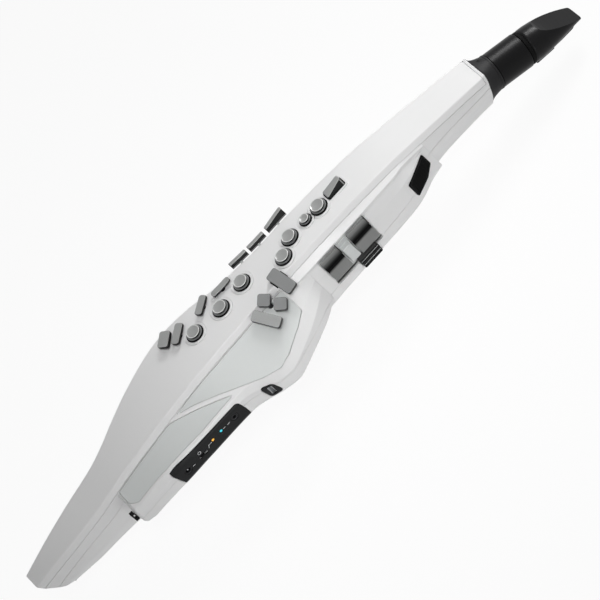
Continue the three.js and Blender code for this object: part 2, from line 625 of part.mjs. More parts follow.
// Side keys: paddles that hang over the right bevel, pressed in across it
const sideKey = { size: 11, growth: 2.2, chamfer: 0.8, stemAlongBevel: 2.9, stemFoot: -9, stemTop: 2.2 };
const sidePaddleShares = [
  [0.115, 0.105], [0.13, 0.291], [0.4, 0.327], [0.545, 0.264], [1, -0.418], [0.927, -0.636], [0.65, -0.618],
  [0.3, -0.065],
];
const paddleMiddleShares = { out: 0.5, up: -0.136, top: 0.18 };
const sideKeyShares = [
  ["key_side_1", 0.4653, 0.4927, 0, 0],
  ["key_side_2", 0.4965, 0.5242, 0, 0],
  ["key_side_3", 0.5293, 0.5618, 0.14, 1],
];
const bevelAngle = Math.atan2(core.bevelDrop, core.bevelOut);
const bevelNormal = new THREE.Vector3(0, Math.sin(bevelAngle), Math.cos(bevelAngle));
for (const [name, from, to, growStart, growEnd] of sideKeyShares) {
  const [start, end] = [xAt(from), xAt(to)];
  const middle = (start + end) / 2;
  const ring = (x, growShare, pull) => sidePaddleShares.map(([out, up]) => {
    const y = leftEdge(x) + out * sideKey.size - Math.sign(out - paddleMiddleShares.out) * pull;
    const z = deckHeight(x) + up * sideKey.size - Math.sign(up - paddleMiddleShares.up) * pull;
    const lift = up > paddleMiddleShares.top ? growShare * sideKey.growth : 0;
    return [x, y + lift / 2, z + lift];
  });
  const paddle = loftOf([
    ring(start, growStart, sideKey.chamfer / 2),
    ring(start + sideKey.chamfer, growStart, 0),
    ring(end - sideKey.chamfer, growEnd, 0),
    ring(end, growEnd, sideKey.chamfer / 2),
  ]);
  const onBevel = sideKey.stemAlongBevel;
  const root = new THREE.Vector3(
    middle,
    leftEdge(middle) + onBevel * Math.cos(bevelAngle),
    deckHeight(middle) - onBevel * Math.sin(bevelAngle),
  );
  const place = basisFrame(root, xAxis, bevelNormal);
  addNode(name, paddle.add(rod(stemRadius, sideKey.stemFoot, sideKey.stemTop, place, stemSides)), "key");
  deckCuts.push(rod(stemHole, sideKey.stemFoot, -sideKey.stemFoot, place, stemSides));
}

// Palm keys: saddle paddles in an opening of the left-hand housing, pivoted at their upper edges
const palm = {
  fromX: xAt(0.5406), toX: xAt(0.6274), top: -11.5, bottom: -41, depth: 15,
  cradleOut: 26.3, cradleWall: 1.8, cradleRound: 1.5,
  bridgeFromX: xAt(0.5737), bridgeToX: xAt(0.5892), bridgeOut: 30.6, bridgeTop: -17, bridgeBottom: -34,
};
const palmProfileShares = [
  [0.94, 0.8], [0.993, 0.816], [1.04, 0.735], [1.073, 0.608], [1.067, 0.58], [1.093, 0.451], [1.107, 0.314],
  [1.08, 0.298], [1.007, 0.314], [0.993, 0.451], [0.963, 0.608], [0.937, 0.735],
];
const palmMiddleShare = 0.57;
const palmKeyShares = [["palm_key_lower", 0.5425, 0.5721], ["palm_key_upper", 0.5906, 0.622]];
const belowDeck = (z) => bodyDepth + z;
const palmFoot = bodyDepth - hand.footDrop;
const palmRing = (x, pull) => palmProfileShares.map(([out, up]) => {
  const shift = Math.sign(up - palmMiddleShare) * pull;
  return [x, -out * hand.footOut, palmFoot + up * hand.footDrop - shift];
});
for (const [name, from, to] of palmKeyShares) {
  const [start, end] = [xAt(from), xAt(to)];
  const rings = [[start, slotGap], [start + slotGap, 0], [end - slotGap, 0], [end, slotGap]];
  addNode(name, loftOf(rings.map(([x, pull]) => palmRing(x, pull))), "palm");
}
const palmOpening = block(
  [palm.fromX, -instrumentLength, belowDeck(palm.bottom)],
  [palm.toX, -palm.depth, belowDeck(palm.top)],
);
const cradle = block(
  [palm.fromX + slotGap, -palm.cradleOut, belowDeck(palm.bottom) + slotGap],
  [palm.toX - slotGap, -palm.cradleOut + palm.cradleWall, belowDeck(palm.top) - slotGap],
).add(prism([
  [palm.bridgeFromX, -palm.cradleOut, 0], [palm.bridgeToX, -palm.cradleOut, 0],
  [palm.bridgeToX, -palm.bridgeOut, palm.cradleRound], [palm.bridgeFromX, -palm.bridgeOut, palm.cradleRound],
], belowDeck(palm.bridgeBottom), belowDeck(palm.bridgeTop)));

// Third palm key: a small dark paddle low on the same wall
const lowPalm = {
  fromX: xAt(0.5798), toX: xAt(0.6111), top: -36.6, bottom: -46.6, out: 32.4, in: 27, corner: 1.2,
  notchTop: -36,
};
addNode("palm_key_third", prism([
  [lowPalm.fromX, -lowPalm.in, 0], [lowPalm.toX, -lowPalm.in, 0],
  [lowPalm.toX, -lowPalm.out, lowPalm.corner], [lowPalm.fromX, -lowPalm.out, lowPalm.corner],
], belowDeck(lowPalm.bottom), belowDeck(lowPalm.top)), "black");
const lowPalmOpening = block(
  [lowPalm.fromX - slotGap, -instrumentLength, belowDeck(lowPalm.bottom) - slotGap],
  [lowPalm.toX + slotGap, -palm.depth, belowDeck(lowPalm.notchTop)],
);
addNode("palm_cradle", cradle.subtract(lowPalmOpening), "silver");

// Silver panels: thin plates let into the top of the wing, bounded by the wing edge and the groove
const panel = {
  thickness: 0.8, recess: 1.1, gap: 0.3, proud: 0.05, grooveRound: 2.5, clearGroove: 0.7, sweep: 8,
};
const panelFloorShare = 0.61;
const panelPoint = ([along, across, sweep]) => [xAt(along), -across * bodyHalfWidth, sweep * panel.sweep];
const grooveEdge = (along) => [xAt(along), -grooveOut(xAt(along)) - panel.clearGroove, panel.grooveRound];
const upperPanelShares = [
  [0.303, 0.928, 1], [0.353, 1.394, 1], [0.391, 1.729, 1], [0.416, 1.87, 1.2], [0.435, 1.79, 1],
  [0.466, 1.489, 1],
  [0.4855, 1.24, 0.25],
];
const lowerPanelShares = [
  [0.351, 1.5, 0.15], [0.29, 1.51, 1], [0.225, 1.44, 1], [0.172, 1.25, 0.75], [0.16, 1.02, 0.6],
];
const upperGrooveShares = [0.4865, 0.44, 0.36];
const lowerGrooveShares = [0.161, 0.21, 0.268];
const apexShare = 0.281;
const upperPanelOutline = [
  grooveEdge(apexShare), ...upperPanelShares.map(panelPoint), ...upperGrooveShares.map(grooveEdge),
];
const lowerPanelOutline = [...lowerPanelShares.map(panelPoint), ...lowerGrooveShares.map(grooveEdge)];

function panelSolid(outline, fromDepth, toDepth, grow) {
  const corners = grow > 0 ? insetCorners(outline, -grow) : outline;
  const column = prism(corners, bodyDepth * panelFloorShare, bodyDepth + overrun);
  return column.intersect(wingLoft(fromDepth, innerSteps)).subtract(wingLoft(toDepth, innerSteps));
}

const panelTop = panel.recess - panel.thickness - panel.proud;
const casingCuts = [palmOpening, lowPalmOpening, ...tableCuts, ...deckCuts];
const panelOutlines = { silver_panel_upper: upperPanelOutline, silver_panel_lower: lowerPanelOutline };
for (const [name, outline] of Object.entries(panelOutlines)) {
  const plate = panelSolid(outline, panelTop, panel.recess - panel.gap / 2, 0);
  addNode(name, plate.subtract(unionOf(tableCuts)), "silver");
  casingCuts.push(panelSolid(outline, -wall / 2, panel.recess, panel.gap));
}

// Control strip and socket plate: black plates let into the outer wall of the box, seen from the left
const strip = {
  recess: 1.3, proud: 0.1, gap: 0.3, round: 3, jackRadius: 2.75, slotLength: 8, slotHeight: 3, lamp: 1.3,
};
const stripInShare = 1.56;
const wallPoint = ([along, up, sweep]) => [xAt(along), up * bodyDepth, sweep * strip.round];
const stripShares = [
  [0.2225, 0.79, 0.5], [0.3467, 0.79, 0.5], [0.3488, 0.663, 1], [0.3488, 0.558, 0.5], [0.2308, 0.558, 1],
];
const plateShares = [[0.3765, 0.758, 0.5], [0.3934, 0.733, 0.7], [0.3986, 0.599, 0.7], [0.3815, 0.591, 0.7]];
const onWall = leftWallFrame(0, 0, 0);

function wallPlate(outline, fromDepth, toDepth, grow) {
  const corners = insetCorners(outline, -grow);
  const column = prism(corners, bodyHalfWidth * stripInShare, bodyDepth, onWall);
  return column.intersect(wingLoft(fromDepth)).subtract(wingLoft(toDepth));
}

// Holes in the wall: two round sockets, two lamps, the slider's slot and the flat socket
const socketDepth = 6;
const holeSides = 12;
const wallPlace = (alongShare, upShare) => ({ x: xAt(alongShare), z: upShare * bodyDepth });
const roundSockets = { headphone: wallPlace(0.331, 0.6988), power: wallPlace(0.2427, 0.6721) };
const lamps = { amber: wallPlace(0.2916, 0.7081), cyan: wallPlace(0.3068, 0.7081) };
const sliderPlace = wallPlace(0.2704, 0.6721);
const flatSocket = { ...wallPlace(0.3875, 0.6698), width: 3.4, height: 9 };
const wallHole = (radius, { x, z }) => {
  return rod(radius, wingOuter(x) - socketDepth, bodyDepth, leftWallFrame(x, 0, z), holeSides);
};
const wallSlot = (length, height, { x, z }) => block(
  [-length / 2, -height / 2, wingOuter(x) - socketDepth],
  [length / 2, height / 2, bodyDepth],
  leftWallFrame(x, 0, z),
);
const wallHoles = unionOf([
  ...Object.values(roundSockets).map((place) => wallHole(strip.jackRadius, place)),
  ...Object.values(lamps).map((place) => wallHole(strip.lamp, place)),
  wallSlot(strip.slotLength, strip.slotHeight, sliderPlace),
  wallSlot(flatSocket.width, flatSocket.height, flatSocket),
]);
const plateDepth = strip.recess - strip.gap;
const wallCuts = [wallHoles];
for (const [name, shares] of [["control_strip", stripShares], ["socket_plate", plateShares]]) {
  const outline = shares.map(wallPoint);
  addNode(name, wallPlate(outline, -strip.proud, plateDepth, 0).subtract(wallHoles), "black");
  wallCuts.push(wallPlate(outline, -wall / 2, strip.recess, strip.gap));
}
casingCuts.push(...wallCuts);

// Sockets behind the wall: the headphone jack, and seats in the rear cover for the power and flat sockets
const jackBody = { length: 13, height: 9, depth: 11, wallGap: 0.6 };
const backAdds = [];
function socketBody(place, length, height, gap) {
  const outer = wingOuter(place.x) - wall - gap;
  return block(
    [-length / 2, -height / 2, outer - jackBody.depth],
    [length / 2, height / 2, outer],
    leftWallFrame(place.x, 0, place.z),
  );
}
addNode("headphone_jack", socketBody(
  roundSockets.headphone, jackBody.length, jackBody.height, jackBody.wallGap,
).subtract(wallHoles), "black");
for (const place of [roundSockets.power, flatSocket]) {
  const height = jackBody.height + wall;
  const inside = wingLoft(wall + jackBody.wallGap, innerSteps);
  const seat = socketBody(place, jackBody.length, height, 0).intersect(inside);
  const root = socketBody(place, jackBody.length, height, -wall / 2).intersect(backRegion(0));
  backAdds.push(seat.add(root));
}

// Power slider: a knob through the slot, with a wider base behind the wall
const slider = { length: 3.6, height: 2.4, proud: 1.2, base: 1.4, travel: 2, baseHeight: 4.8 };
const sliderOut = wingOuter(sliderPlace.x);
const sliderFrame = leftWallFrame(sliderPlace.x - slider.travel / 2, 0, sliderPlace.z);
const sliderIn = sliderOut - wall - slotGap - slider.base;
addNode("power_slider", block(
  [-slider.length / 2, -slider.height / 2, sliderIn],
  [slider.length / 2, slider.height / 2, sliderOut + slider.proud],
  sliderFrame,
).add(block(
  [-slider.length, -slider.baseHeight / 2, sliderIn],
  [slider.length, slider.baseHeight / 2, sliderIn + slider.base],
  sliderFrame,
)), "black");

// Speaker grille on the slanted end of the left-hand housing, with its slots, and the speaker behind it
const grille = {
  x: xAt(0.7117), out: 24.6, z: -30.3, turn: 18, half: 12, thickness: 1.6, slots: 9, slot: 0.7, rim: 1.3,
};
const grilleShares = [
  [-1, -0.867, 0.1], [-1, 0.383, 0.1], [-0.25, 0.583, 0.5], [0.967, 0.8, 0.1], [1, -0.283, 0.17],
  [0.25, -0.75, 0.5],
];
const slotShares = { leftFoot: -0.867, leftSpan: 1.25, rightFoot: -0.283, rightSpan: 1.083 };
const grilleTurn = THREE.MathUtils.degToRad(grille.turn);
const grilleFrame = leftWallFrame(grille.x, -grille.out, belowDeck(grille.z), grilleTurn);
const grilleOutline = grilleShares.map((corner) => corner.map((share) => share * grille.half));
const grilleHole = prism(insetCorners(grilleOutline, -seam), -grille.half, grille.half, grilleFrame);
let grillePlate = prism(grilleOutline, -grille.thickness, 0, grilleFrame);
const slotEnds = grille.half - grille.rim;
const slotBounds = insetCorners(grilleOutline, grille.rim);
const slotField = prism(slotBounds, -grille.thickness - overrun, overrun, grilleFrame);
for (let i = 0; i < grille.slots; i++) {
  const share = (i + 1 / 2) / grille.slots;
  const left = grille.half * (slotShares.leftFoot + share * slotShares.leftSpan);
  const right = grille.half * (slotShares.rightFoot + share * slotShares.rightSpan);
  const slot = prism([
    [-slotEnds, left - grille.slot / 2, 0], [-slotEnds, left + grille.slot / 2, 0],
    [slotEnds, right + grille.slot / 2, 0], [slotEnds, right - grille.slot / 2, 0],
  ], -grille.thickness - overrun, overrun, grilleFrame);
  grillePlate = grillePlate.subtract(slot.intersect(slotField));
}
addNode("speaker_grille", grillePlate, "mesh");
const speaker = { coneRadius: 7.6, magnetRadius: 4, cone: 3, depth: 8, back: 0.4 };
const speakerFront = -grille.thickness - speaker.back;
addNode("speaker", turned([
  [0, speakerFront - speaker.depth], [speaker.magnetRadius, speakerFront - speaker.depth],
  [speaker.magnetRadius, speakerFront - speaker.cone], [speaker.coneRadius, speakerFront], [0, speakerFront],
], grilleFrame, holeSides), "black");
casingCuts.push(grilleHole);

// Neck: a collar that turns the squared body into a round barrel, with the breath tube inside
const neckShares = { along: 0.8498, across: 0.0625, up: 0.55 };
const neck = { fall: 16, barrelRadius: 14.2, collarEnd: 13, barrelEnd: 40.6, bore: 3.4 };
const neckFall = THREE.MathUtils.degToRad(neck.fall);
const neckFrame = new THREE.Matrix4().makeBasis(
  new THREE.Vector3(Math.sin(neckFall), 0, Math.cos(neckFall)),
  new THREE.Vector3(0, -1, 0),
  new THREE.Vector3(Math.cos(neckFall), 0, -Math.sin(neckFall)),
).setPosition(xAt(neckShares.along), neckShares.across * bodyHalfWidth, neckShares.up * bodyDepth);
const toNeck = neckFrame.clone().invert();
const collar = { steps: 3, waistShare: 0.45, lipAt: 11.4 };
const headRing = ringAt(head.endX + seam, insetCorners(coreCorners(head.endX), seam), collar.steps)
  .map((p) => new THREE.Vector3(...p).applyMatrix4(toNeck));
const collarRing = (share, height, radius) => headRing.map((p) => {
  const angle = Math.atan2(p.y, p.x);
  const round = new THREE.Vector3(radius * Math.cos(angle), radius * Math.sin(angle), height);
  return p.clone().lerp(round, share).toArray();
});
const collarRings = [
  [0, 0, neck.barrelRadius],
  [collar.waistShare, collar.lipAt * collar.waistShare, neck.barrelRadius],
  [1, collar.lipAt, neck.barrelRadius + seam],
  [1, neck.collarEnd, neck.barrelRadius + seam],
];
const neckChannel = rod(neck.bore, -neck.barrelEnd, neck.barrelEnd, neckFrame, stemSides);
addNode("neck_collar", loftOf(collarRings.map((ring) => collarRing(...ring)), neckFrame)
  .subtract(neckChannel), "black");
const tenon = { radius: 8.6, length: 11, gap: 0.4 };
const barrelStart = neck.collarEnd + seam;
const tenonEnd = neck.barrelEnd + tenon.length;
addNode("neck_barrel", turned([
  [neck.bore, barrelStart], [neck.barrelRadius, barrelStart], [neck.barrelRadius, neck.barrelEnd],
  [tenon.radius, neck.barrelEnd], [tenon.radius, tenonEnd], [neck.bore, tenonEnd], [neck.bore, barrelStart],
], neckFrame), "black");
const jointRing = { length: 3, radius: 13.6 };
const jointStart = neck.barrelEnd + seam;
const jointEnd = jointStart + jointRing.length;
addNode("joint_ring", turned([
  [tenon.radius + seam, jointStart], [jointRing.radius, jointStart], [jointRing.radius, jointEnd],
  [tenon.radius + seam, jointEnd], [tenon.radius + seam, jointStart],
], neckFrame), "rubber");

// Mouthpiece rings: place along, thickness, width and shift in shares of the radius, and how squared it is
const mouthpieceShares = [
  [0, 0.93, 0.93, 0, 1], [0.03, 1, 1, 0, 1], [0.16, 1, 1, 0, 1], [0.22, 0.93, 0.93, 0, 1],
  [0.38, 0.83, 0.82, -0.02, 0.9], [0.58, 0.45, 0.68, -0.1, 0.72], [0.8, 0.24, 0.58, -0.2, 0.55],
  [0.96, 0.13, 0.53, -0.28, 0.5], [1, 0.1, 0.47, -0.3, 0.6],
];
const mouthpiece = {
  length: 46.5, radius: 14.2, sides: 20, tubeRadius: 3.4, tubeOverlap: 1, slit: 0.9, slitWidth: 9,
};
const mouthpieceStart = jointEnd + seam;
const squared = (value, power) => Math.sign(value) * Math.abs(value) ** power;
const mouthpieceRings = mouthpieceShares.map(([along, thick, wide, shift, power]) => {
  return Array.from({ length: mouthpiece.sides }, (_, i) => {
    const angle = ((i + 1 / 2) / mouthpiece.sides) * 2 * Math.PI;
    return [
      mouthpiece.radius * (shift + thick * squared(Math.cos(angle), power)),
      mouthpiece.radius * wide * squared(Math.sin(angle), power),
      mouthpieceStart + along * mouthpiece.length,
    ];
  });
});
const slitShares = { start: 0.44, startShift: -0.04, endShift: -0.3 };
const slitFall = Math.atan2(
  mouthpiece.radius * (slitShares.endShift - slitShares.startShift),
  mouthpiece.length * (1 - slitShares.start),
);
const slitStart = mouthpieceStart + mouthpiece.length * slitShares.start;
const slitFrame = neckFrame.clone().multiply(frameAt(
  mouthpiece.radius * slitShares.startShift, 0, slitStart, 0, 0, slitFall,
));
const airSlit = block(
  [-mouthpiece.slit / 2, -mouthpiece.slitWidth / 2, 0],
  [mouthpiece.slit / 2, mouthpiece.slitWidth / 2, mouthpiece.length],
  slitFrame,
);

// The reed lies in a flat cut on the mouthpiece's hidden side
const reed = { width: 13, thickness: 1.2, length: 22, gap: 0.3, corner: 0.4, tilt: 10 };
const reedShares = { start: 0.42, in: 0.8 };
const reedFrame = neckFrame.clone().multiply(frameAt(
  -mouthpiece.radius * reedShares.in, 0, mouthpieceStart + reedShares.start * mouthpiece.length,
  0, 0, THREE.MathUtils.degToRad(reed.tilt),
));
const reedSlot = block(
  [-bodyHalfWidth, -mouthpiece.radius, -reed.gap],
  [reed.thickness + reed.gap, mouthpiece.radius, mouthpiece.length],
  reedFrame,
);
const tubeBoreEnd = slitStart + mouthpiece.tubeOverlap;
addNode("mouthpiece", loftOf(mouthpieceRings, neckFrame)
  .subtract(rod(tenon.radius + tenon.gap, neck.barrelEnd, tenonEnd + tenon.gap, neckFrame))
  .subtract(rod(mouthpiece.tubeRadius, neck.barrelEnd, tubeBoreEnd, neckFrame, stemSides))
  .subtract(airSlit)
  .subtract(reedSlot), "black");
addNode("reed", prism([
  [0, -reed.width / 2, reed.corner], [0, reed.width / 2, reed.corner],
  [reed.thickness, reed.width / 2, reed.corner], [reed.thickness, -reed.width / 2, reed.corner],
], 0, reed.length, reedFrame), "rubber");

// Breath tube from the barrel to the sensor in the head
const tube = { outer: 2.9, inner: 2, start: -6, end: 46 };
addNode("breath_tube", turned([
  [tube.inner, tube.start], [tube.outer, tube.start], [tube.outer, tube.end], [tube.inner, tube.end],
  [tube.inner, tube.start],
], neckFrame, stemSides), "silicone");
const headBore = rod(tube.outer + slotGap, -neck.collarEnd, neck.collarEnd, neckFrame, stemSides);
const sensor = { length: 10, width: 12, height: 9 };
addNode("breath_sensor", block(
  [-sensor.height / 2, -sensor.width / 2, tube.start - seam - sensor.length],
  [sensor.height / 2, sensor.width / 2, tube.start - seam],
  neckFrame,
), "black");
casingCuts.push(headBore);

// Rubber foot on the slanted tail end, and the lead hook on the end of the control box
const foot = { across: 1.5, width: 11, thickness: 2.2, corner: 1.5 };
const footShares = { from: 0.47, to: 0.93 };
const tailTop = new THREE.Vector3(tail.endX, foot.across, deckHeight(tail.endX));
const tailDown = new THREE.Vector3(tail.lean, 0, -1).normalize();
const tailOut = new THREE.Vector3(-1, 0, -tail.lean).normalize();
const tailLength = (deckHeight(tail.endX) - backHeight(tail.endX)) * Math.hypot(1, tail.lean);
const [footStart, footEnd] = [footShares.from * tailLength, footShares.to * tailLength];
addNode("tail_foot", prism([
  [footStart, -foot.width / 2, foot.corner], [footEnd, -foot.width / 2, foot.corner],
  [footEnd, foot.width / 2, foot.corner], [footStart, foot.width / 2, foot.corner],
], seam, foot.thickness, basisFrame(tailTop, tailDown, tailOut)), "rubber");
const leadHookShares = { out: 1.2188, up: 0.5407 };
const leadHook = { height: 9.5, width: 3, reach: 3.4 };
const [hookOut, hookFoot] = [leadHookShares.out * bodyHalfWidth, leadHookShares.up * bodyDepth];
addNode("lead_hook", block(
  [wing.tailX - leadHook.reach, -hookOut - leadHook.width / 2, hookFoot],
  [wing.tailX - seam, -hookOut + leadHook.width / 2, hookFoot + leadHook.height],
), "black");

// Back of the horn, from the tail: thumb hook, strap ring, thumb keys and rest, lever, buttons, display
const backCuts = [];
const backLineShare = 0.125;
const backLine = backLineShare * bodyHalfWidth;
const sideways = new THREE.Matrix4().makeRotationX(Math.PI / 2);
const thumbRestShare = 0.554;
const thumbSteps = { hook: 14.7, ring: 13, octave: 16.8, lever: 16.2 };
const thumbRestX = xAt(thumbRestShare);
const [octaveDownX, octaveUpX] = [thumbRestX - thumbSteps.octave, thumbRestX + thumbSteps.octave];
const strapRingX = octaveDownX - thumbSteps.ring;
const thumbHookX = strapRingX - thumbSteps.hook;
const leverX = octaveUpX + thumbSteps.lever;

// Right-thumb hook: a strip bent to a J, standing on its base plate
const thumbHook = { plate: 13.5, width: 15, thick: 2.2, reach: 18, lip: 12, round: 6, gap: 0.7, steps: 3 };
const hookFrame = backFrame(thumbHookX, backLine).multiply(sideways);
const hookHalf = thumbHook.plate / 2;
const hookSide = thumbHook.width / 2;
const hookTip = hookHalf - thumbHook.lip;
const hookInner = hookHalf - thumbHook.thick;
const hookOuterCorners = [
  [-hookHalf, thumbHook.gap, 0], [hookHalf, thumbHook.gap, 0],
  [hookHalf, thumbHook.reach, thumbHook.round], [-hookHalf, thumbHook.reach, 0],
];
const hookHollowCorners = [
  [-hookHalf - overrun, thumbHook.gap + thumbHook.thick, 0],
  [hookInner, thumbHook.gap + thumbHook.thick, thumbHook.thick],
  [hookInner, thumbHook.reach - thumbHook.thick, thumbHook.round - thumbHook.thick],
  [-hookHalf - overrun, thumbHook.reach - thumbHook.thick, 0],
];
const hookCut = thumbHook.reach - 2 * thumbHook.thick;
const hookEnd = prism([
  [-hookHalf - overrun, hookCut, 0],
  [hookTip, hookCut, 0],
  [hookTip, thumbHook.reach + overrun, 0], [-hookHalf - overrun, thumbHook.reach + overrun, 0],
], -hookSide - overrun, hookSide + overrun, hookFrame);
addNode("thumb_hook", prism(hookOuterCorners, -hookSide, hookSide, hookFrame, thumbHook.steps)
  .subtract(prism(hookHollowCorners, -hookSide - overrun, hookSide + overrun, hookFrame, thumbHook.steps))
  .subtract(hookEnd), "black");

// Strap ring: a steel eye on a base plate, its hole across the instrument
const strapRing = {
  radius: 6, wire: 1.4, plate: 9, thick: 1.5, corner: 2, gap: 0.6, turns: 20, wireSides: 8,
};
const ringFrame = backFrame(strapRingX, backLine);
const ringUp = strapRing.gap + strapRing.wire + strapRing.radius;
const eye = new THREE.TorusGeometry(strapRing.radius, strapRing.wire, strapRing.wireSides, strapRing.turns);
addNode("strap_ring", solidOf(eye.rotateX(Math.PI / 2).translate(0, 0, ringUp), ringFrame).add(prism(
  slantedCorners(strapRing.plate, strapRing.plate, 0, strapRing.corner),
  strapRing.gap, strapRing.gap + strapRing.thick, ringFrame,
)), "steel");

// Thumb rest and the two octave keys either side of it
const thumbRest = { radius: 9.4, rise: 3, seat: 0.8, gap: 0.3 };
const restFrame = backFrame(thumbRestX, backLine);
addNode("thumb_rest", turned([
  [0, thumbRest.rise], [thumbRest.radius / 2, thumbRest.rise - thumbRest.gap],
  [thumbRest.radius, thumbRest.seat],
  [thumbRest.radius, thumbRest.gap - thumbRest.seat], [0, thumbRest.gap - thumbRest.seat],
], restFrame), "rubber");
backCuts.push(rod(thumbRest.radius + thumbRest.gap, -thumbRest.seat, thumbRest.rise, restFrame));

const octaveKey = { length: 13, width: 9, rise: 3.4, sunk: 3, chamfer: 0.8, corner: 2, foot: -6.4 };
for (const [name, x] of [["octave_down_key", octaveDownX], ["octave_up_key", octaveUpX]]) {
  const place = backFrame(x, backLine);
  const corners = slantedCorners(octaveKey.length, octaveKey.width, 0, octaveKey.corner);
  const stem = centreStem(octaveKey.foot);
  addNode(name, capOn(corners, -octaveKey.sunk, octaveKey.rise, octaveKey.chamfer, stem, place), "key");
  backCuts.push(prism(insetCorners(corners, -slotGap), -octaveKey.sunk - wall, octaveKey.rise, place));
}

// Bend lever: a rocker with a raised crosswise rib, on an axis across the back
const lever = { length: 12, width: 9, sunk: 2.4, rise: 1.6, rib: 4.6, ribWidth: 2.6, corner: 1, clear: 2.5 };
const leverFrame = backFrame(leverX, backLine);
const [leverEnd, ribEnd] = [lever.length / 2, lever.ribWidth / 2];
addNode("bend_lever", prism([
  [-leverEnd, -lever.sunk, lever.corner], [leverEnd, -lever.sunk, lever.corner],
  [leverEnd, lever.rise, lever.corner], [ribEnd, lever.rise, lever.corner], [ribEnd, lever.rib, lever.corner],
  [-ribEnd, lever.rib, lever.corner], [-ribEnd, lever.rise, lever.corner],
  [-leverEnd, lever.rise, lever.corner],
], -lever.width / 2, lever.width / 2, leverFrame.clone().multiply(sideways)), "key");
const leverWell = slantedCorners(lever.length + lever.clear, lever.width + 2 * slotGap, 0, lever.corner);
backCuts.push(prism(leverWell, -lever.sunk - wall, lever.rib, leverFrame));

// Round buttons on the back: two assignable ones, and three under the display
const backButton = { radius: 2.5, rise: 1.3, edge: 0.3, foot: -4.9, flange: 0.8, flangeTop: -3.3, sides: 14 };
const buttonPitch = 5.7;
const backButtonShares = [
  ["s1_button", 0.6376, 0.0625, 1, -0.7], ["s2_button", 0.6376, 0.0625, 1, 0.7],
  ["menu_button", 0.7038, 0.041, 0.8, -1], ["minus_button", 0.7038, 0.041, 0.8, 0],
  ["plus_button", 0.7038, 0.041, 0.8, 1],
];
for (const [name, along, across, share, pitches] of backButtonShares) {
  const place = backFrame(xAt(along), across * bodyHalfWidth + pitches * buttonPitch);
  const radius = backButton.radius * share;
  addNode(name, turned([
    [0, backButton.rise], [radius - backButton.edge, backButton.rise],
    [radius, backButton.rise - backButton.edge],
    [radius, backButton.flangeTop], [radius + backButton.flange, backButton.flangeTop],
    [radius + backButton.flange, backButton.foot], [0, backButton.foot],
  ], place, backButton.sides), "black");
  backCuts.push(rod(radius + slotGap / 2, -wall - overrun, backButton.rise, place, backButton.sides));
}

// Display window: a thin dark pane in a seat in the back
const displayShares = { along: 0.6707, across: 0.0438 };
const display = { length: 24, width: 12.6, thick: 1.1, seat: 1.3, corner: 1.2, gap: 0.3 };
const displayFrame = backFrame(xAt(displayShares.along), displayShares.across * bodyHalfWidth);
const displayCorners = slantedCorners(display.length, display.width, 0, display.corner);
const paneFoot = display.gap / 2 - display.seat;
addNode("display_window", prism(displayCorners, paneFoot, paneFoot + display.thick, displayFrame), "window");
backCuts.push(prism(insetCorners(displayCorners, -display.gap), -display.seat, overrun, displayFrame));

// Battery door in the back of the box: follows the body curve and lifts off
const doorShares = { fromAlong: 0.2213, toAlong: 0.4024, fromAcross: -0.25, toAcross: 1.0313 };
const door = {
  fromX: xAt(doorShares.fromAlong), toX: xAt(doorShares.toAlong),
  fromY: doorShares.fromAcross * bodyHalfWidth, toY: doorShares.toAcross * bodyHalfWidth,
  corner: 4, gap: 0.4, reach: 12,
};
const doorCorners = [
  [door.fromX, door.fromY, door.corner], [door.toX, door.fromY, door.corner],
  [door.toX, door.toY, door.corner], [door.fromX, door.toY, door.corner],
];
addNode("battery_door", prism(doorCorners, -overrun, door.reach).intersect(rearCover), "white");
backCuts.push(prism(insetCorners(doorCorners, -door.gap), -overrun, door.reach + door.gap));

// Inside the box: the battery cells, joined end to end and side by side, and the main circuit board
const cellShares = { radius: 0.1659, pitch: 0.3439, length: 0.4808 };
const [doorLength, doorWidth] = [door.toX - door.fromX, door.toY - door.fromY];
const cell = {
  radius: cellShares.radius * doorWidth, pitch: cellShares.pitch * doorWidth,
  length: cellShares.length * doorLength,
  inset: 1.8, clear: 6, sideways: 1.4, gap: 0.6, tab: 3,
};
const cellRows = 3;
const cellFromX = door.fromX + cell.inset;
const cellFirstY = (door.fromY + door.toY) / 2 - cell.sideways - cell.pitch;
const cellHeight = cell.radius + cell.clear;
const cellSolids = [];
for (let row = 0; row < cellRows; row++) {
  const start = new THREE.Vector3(cellFromX, cellFirstY + row * cell.pitch, cellHeight);
  const along = basisFrame(start, new THREE.Vector3(0, 1, 0), xAxis);
  cellSolids.push(rod(cell.radius, 0, cell.length, along, holeSides));
  cellSolids.push(rod(cell.radius, cell.length + cell.gap, 2 * cell.length + cell.gap, along, holeSides));
  cellSolids.push(rod(cell.tab, cell.length - cell.gap, cell.length + 2 * cell.gap, along, holeSides));
}
const tabReach = (cellRows - 1) * cell.pitch;
cellSolids.push(block(
  [cellFromX + cell.tab, cellFirstY, cellHeight - cell.tab / 2],
  [cellFromX + 2 * cell.tab, cellFirstY + tabReach, cellHeight + cell.tab / 2],
));
addNode("battery_pack", unionOf(cellSolids), "cell");

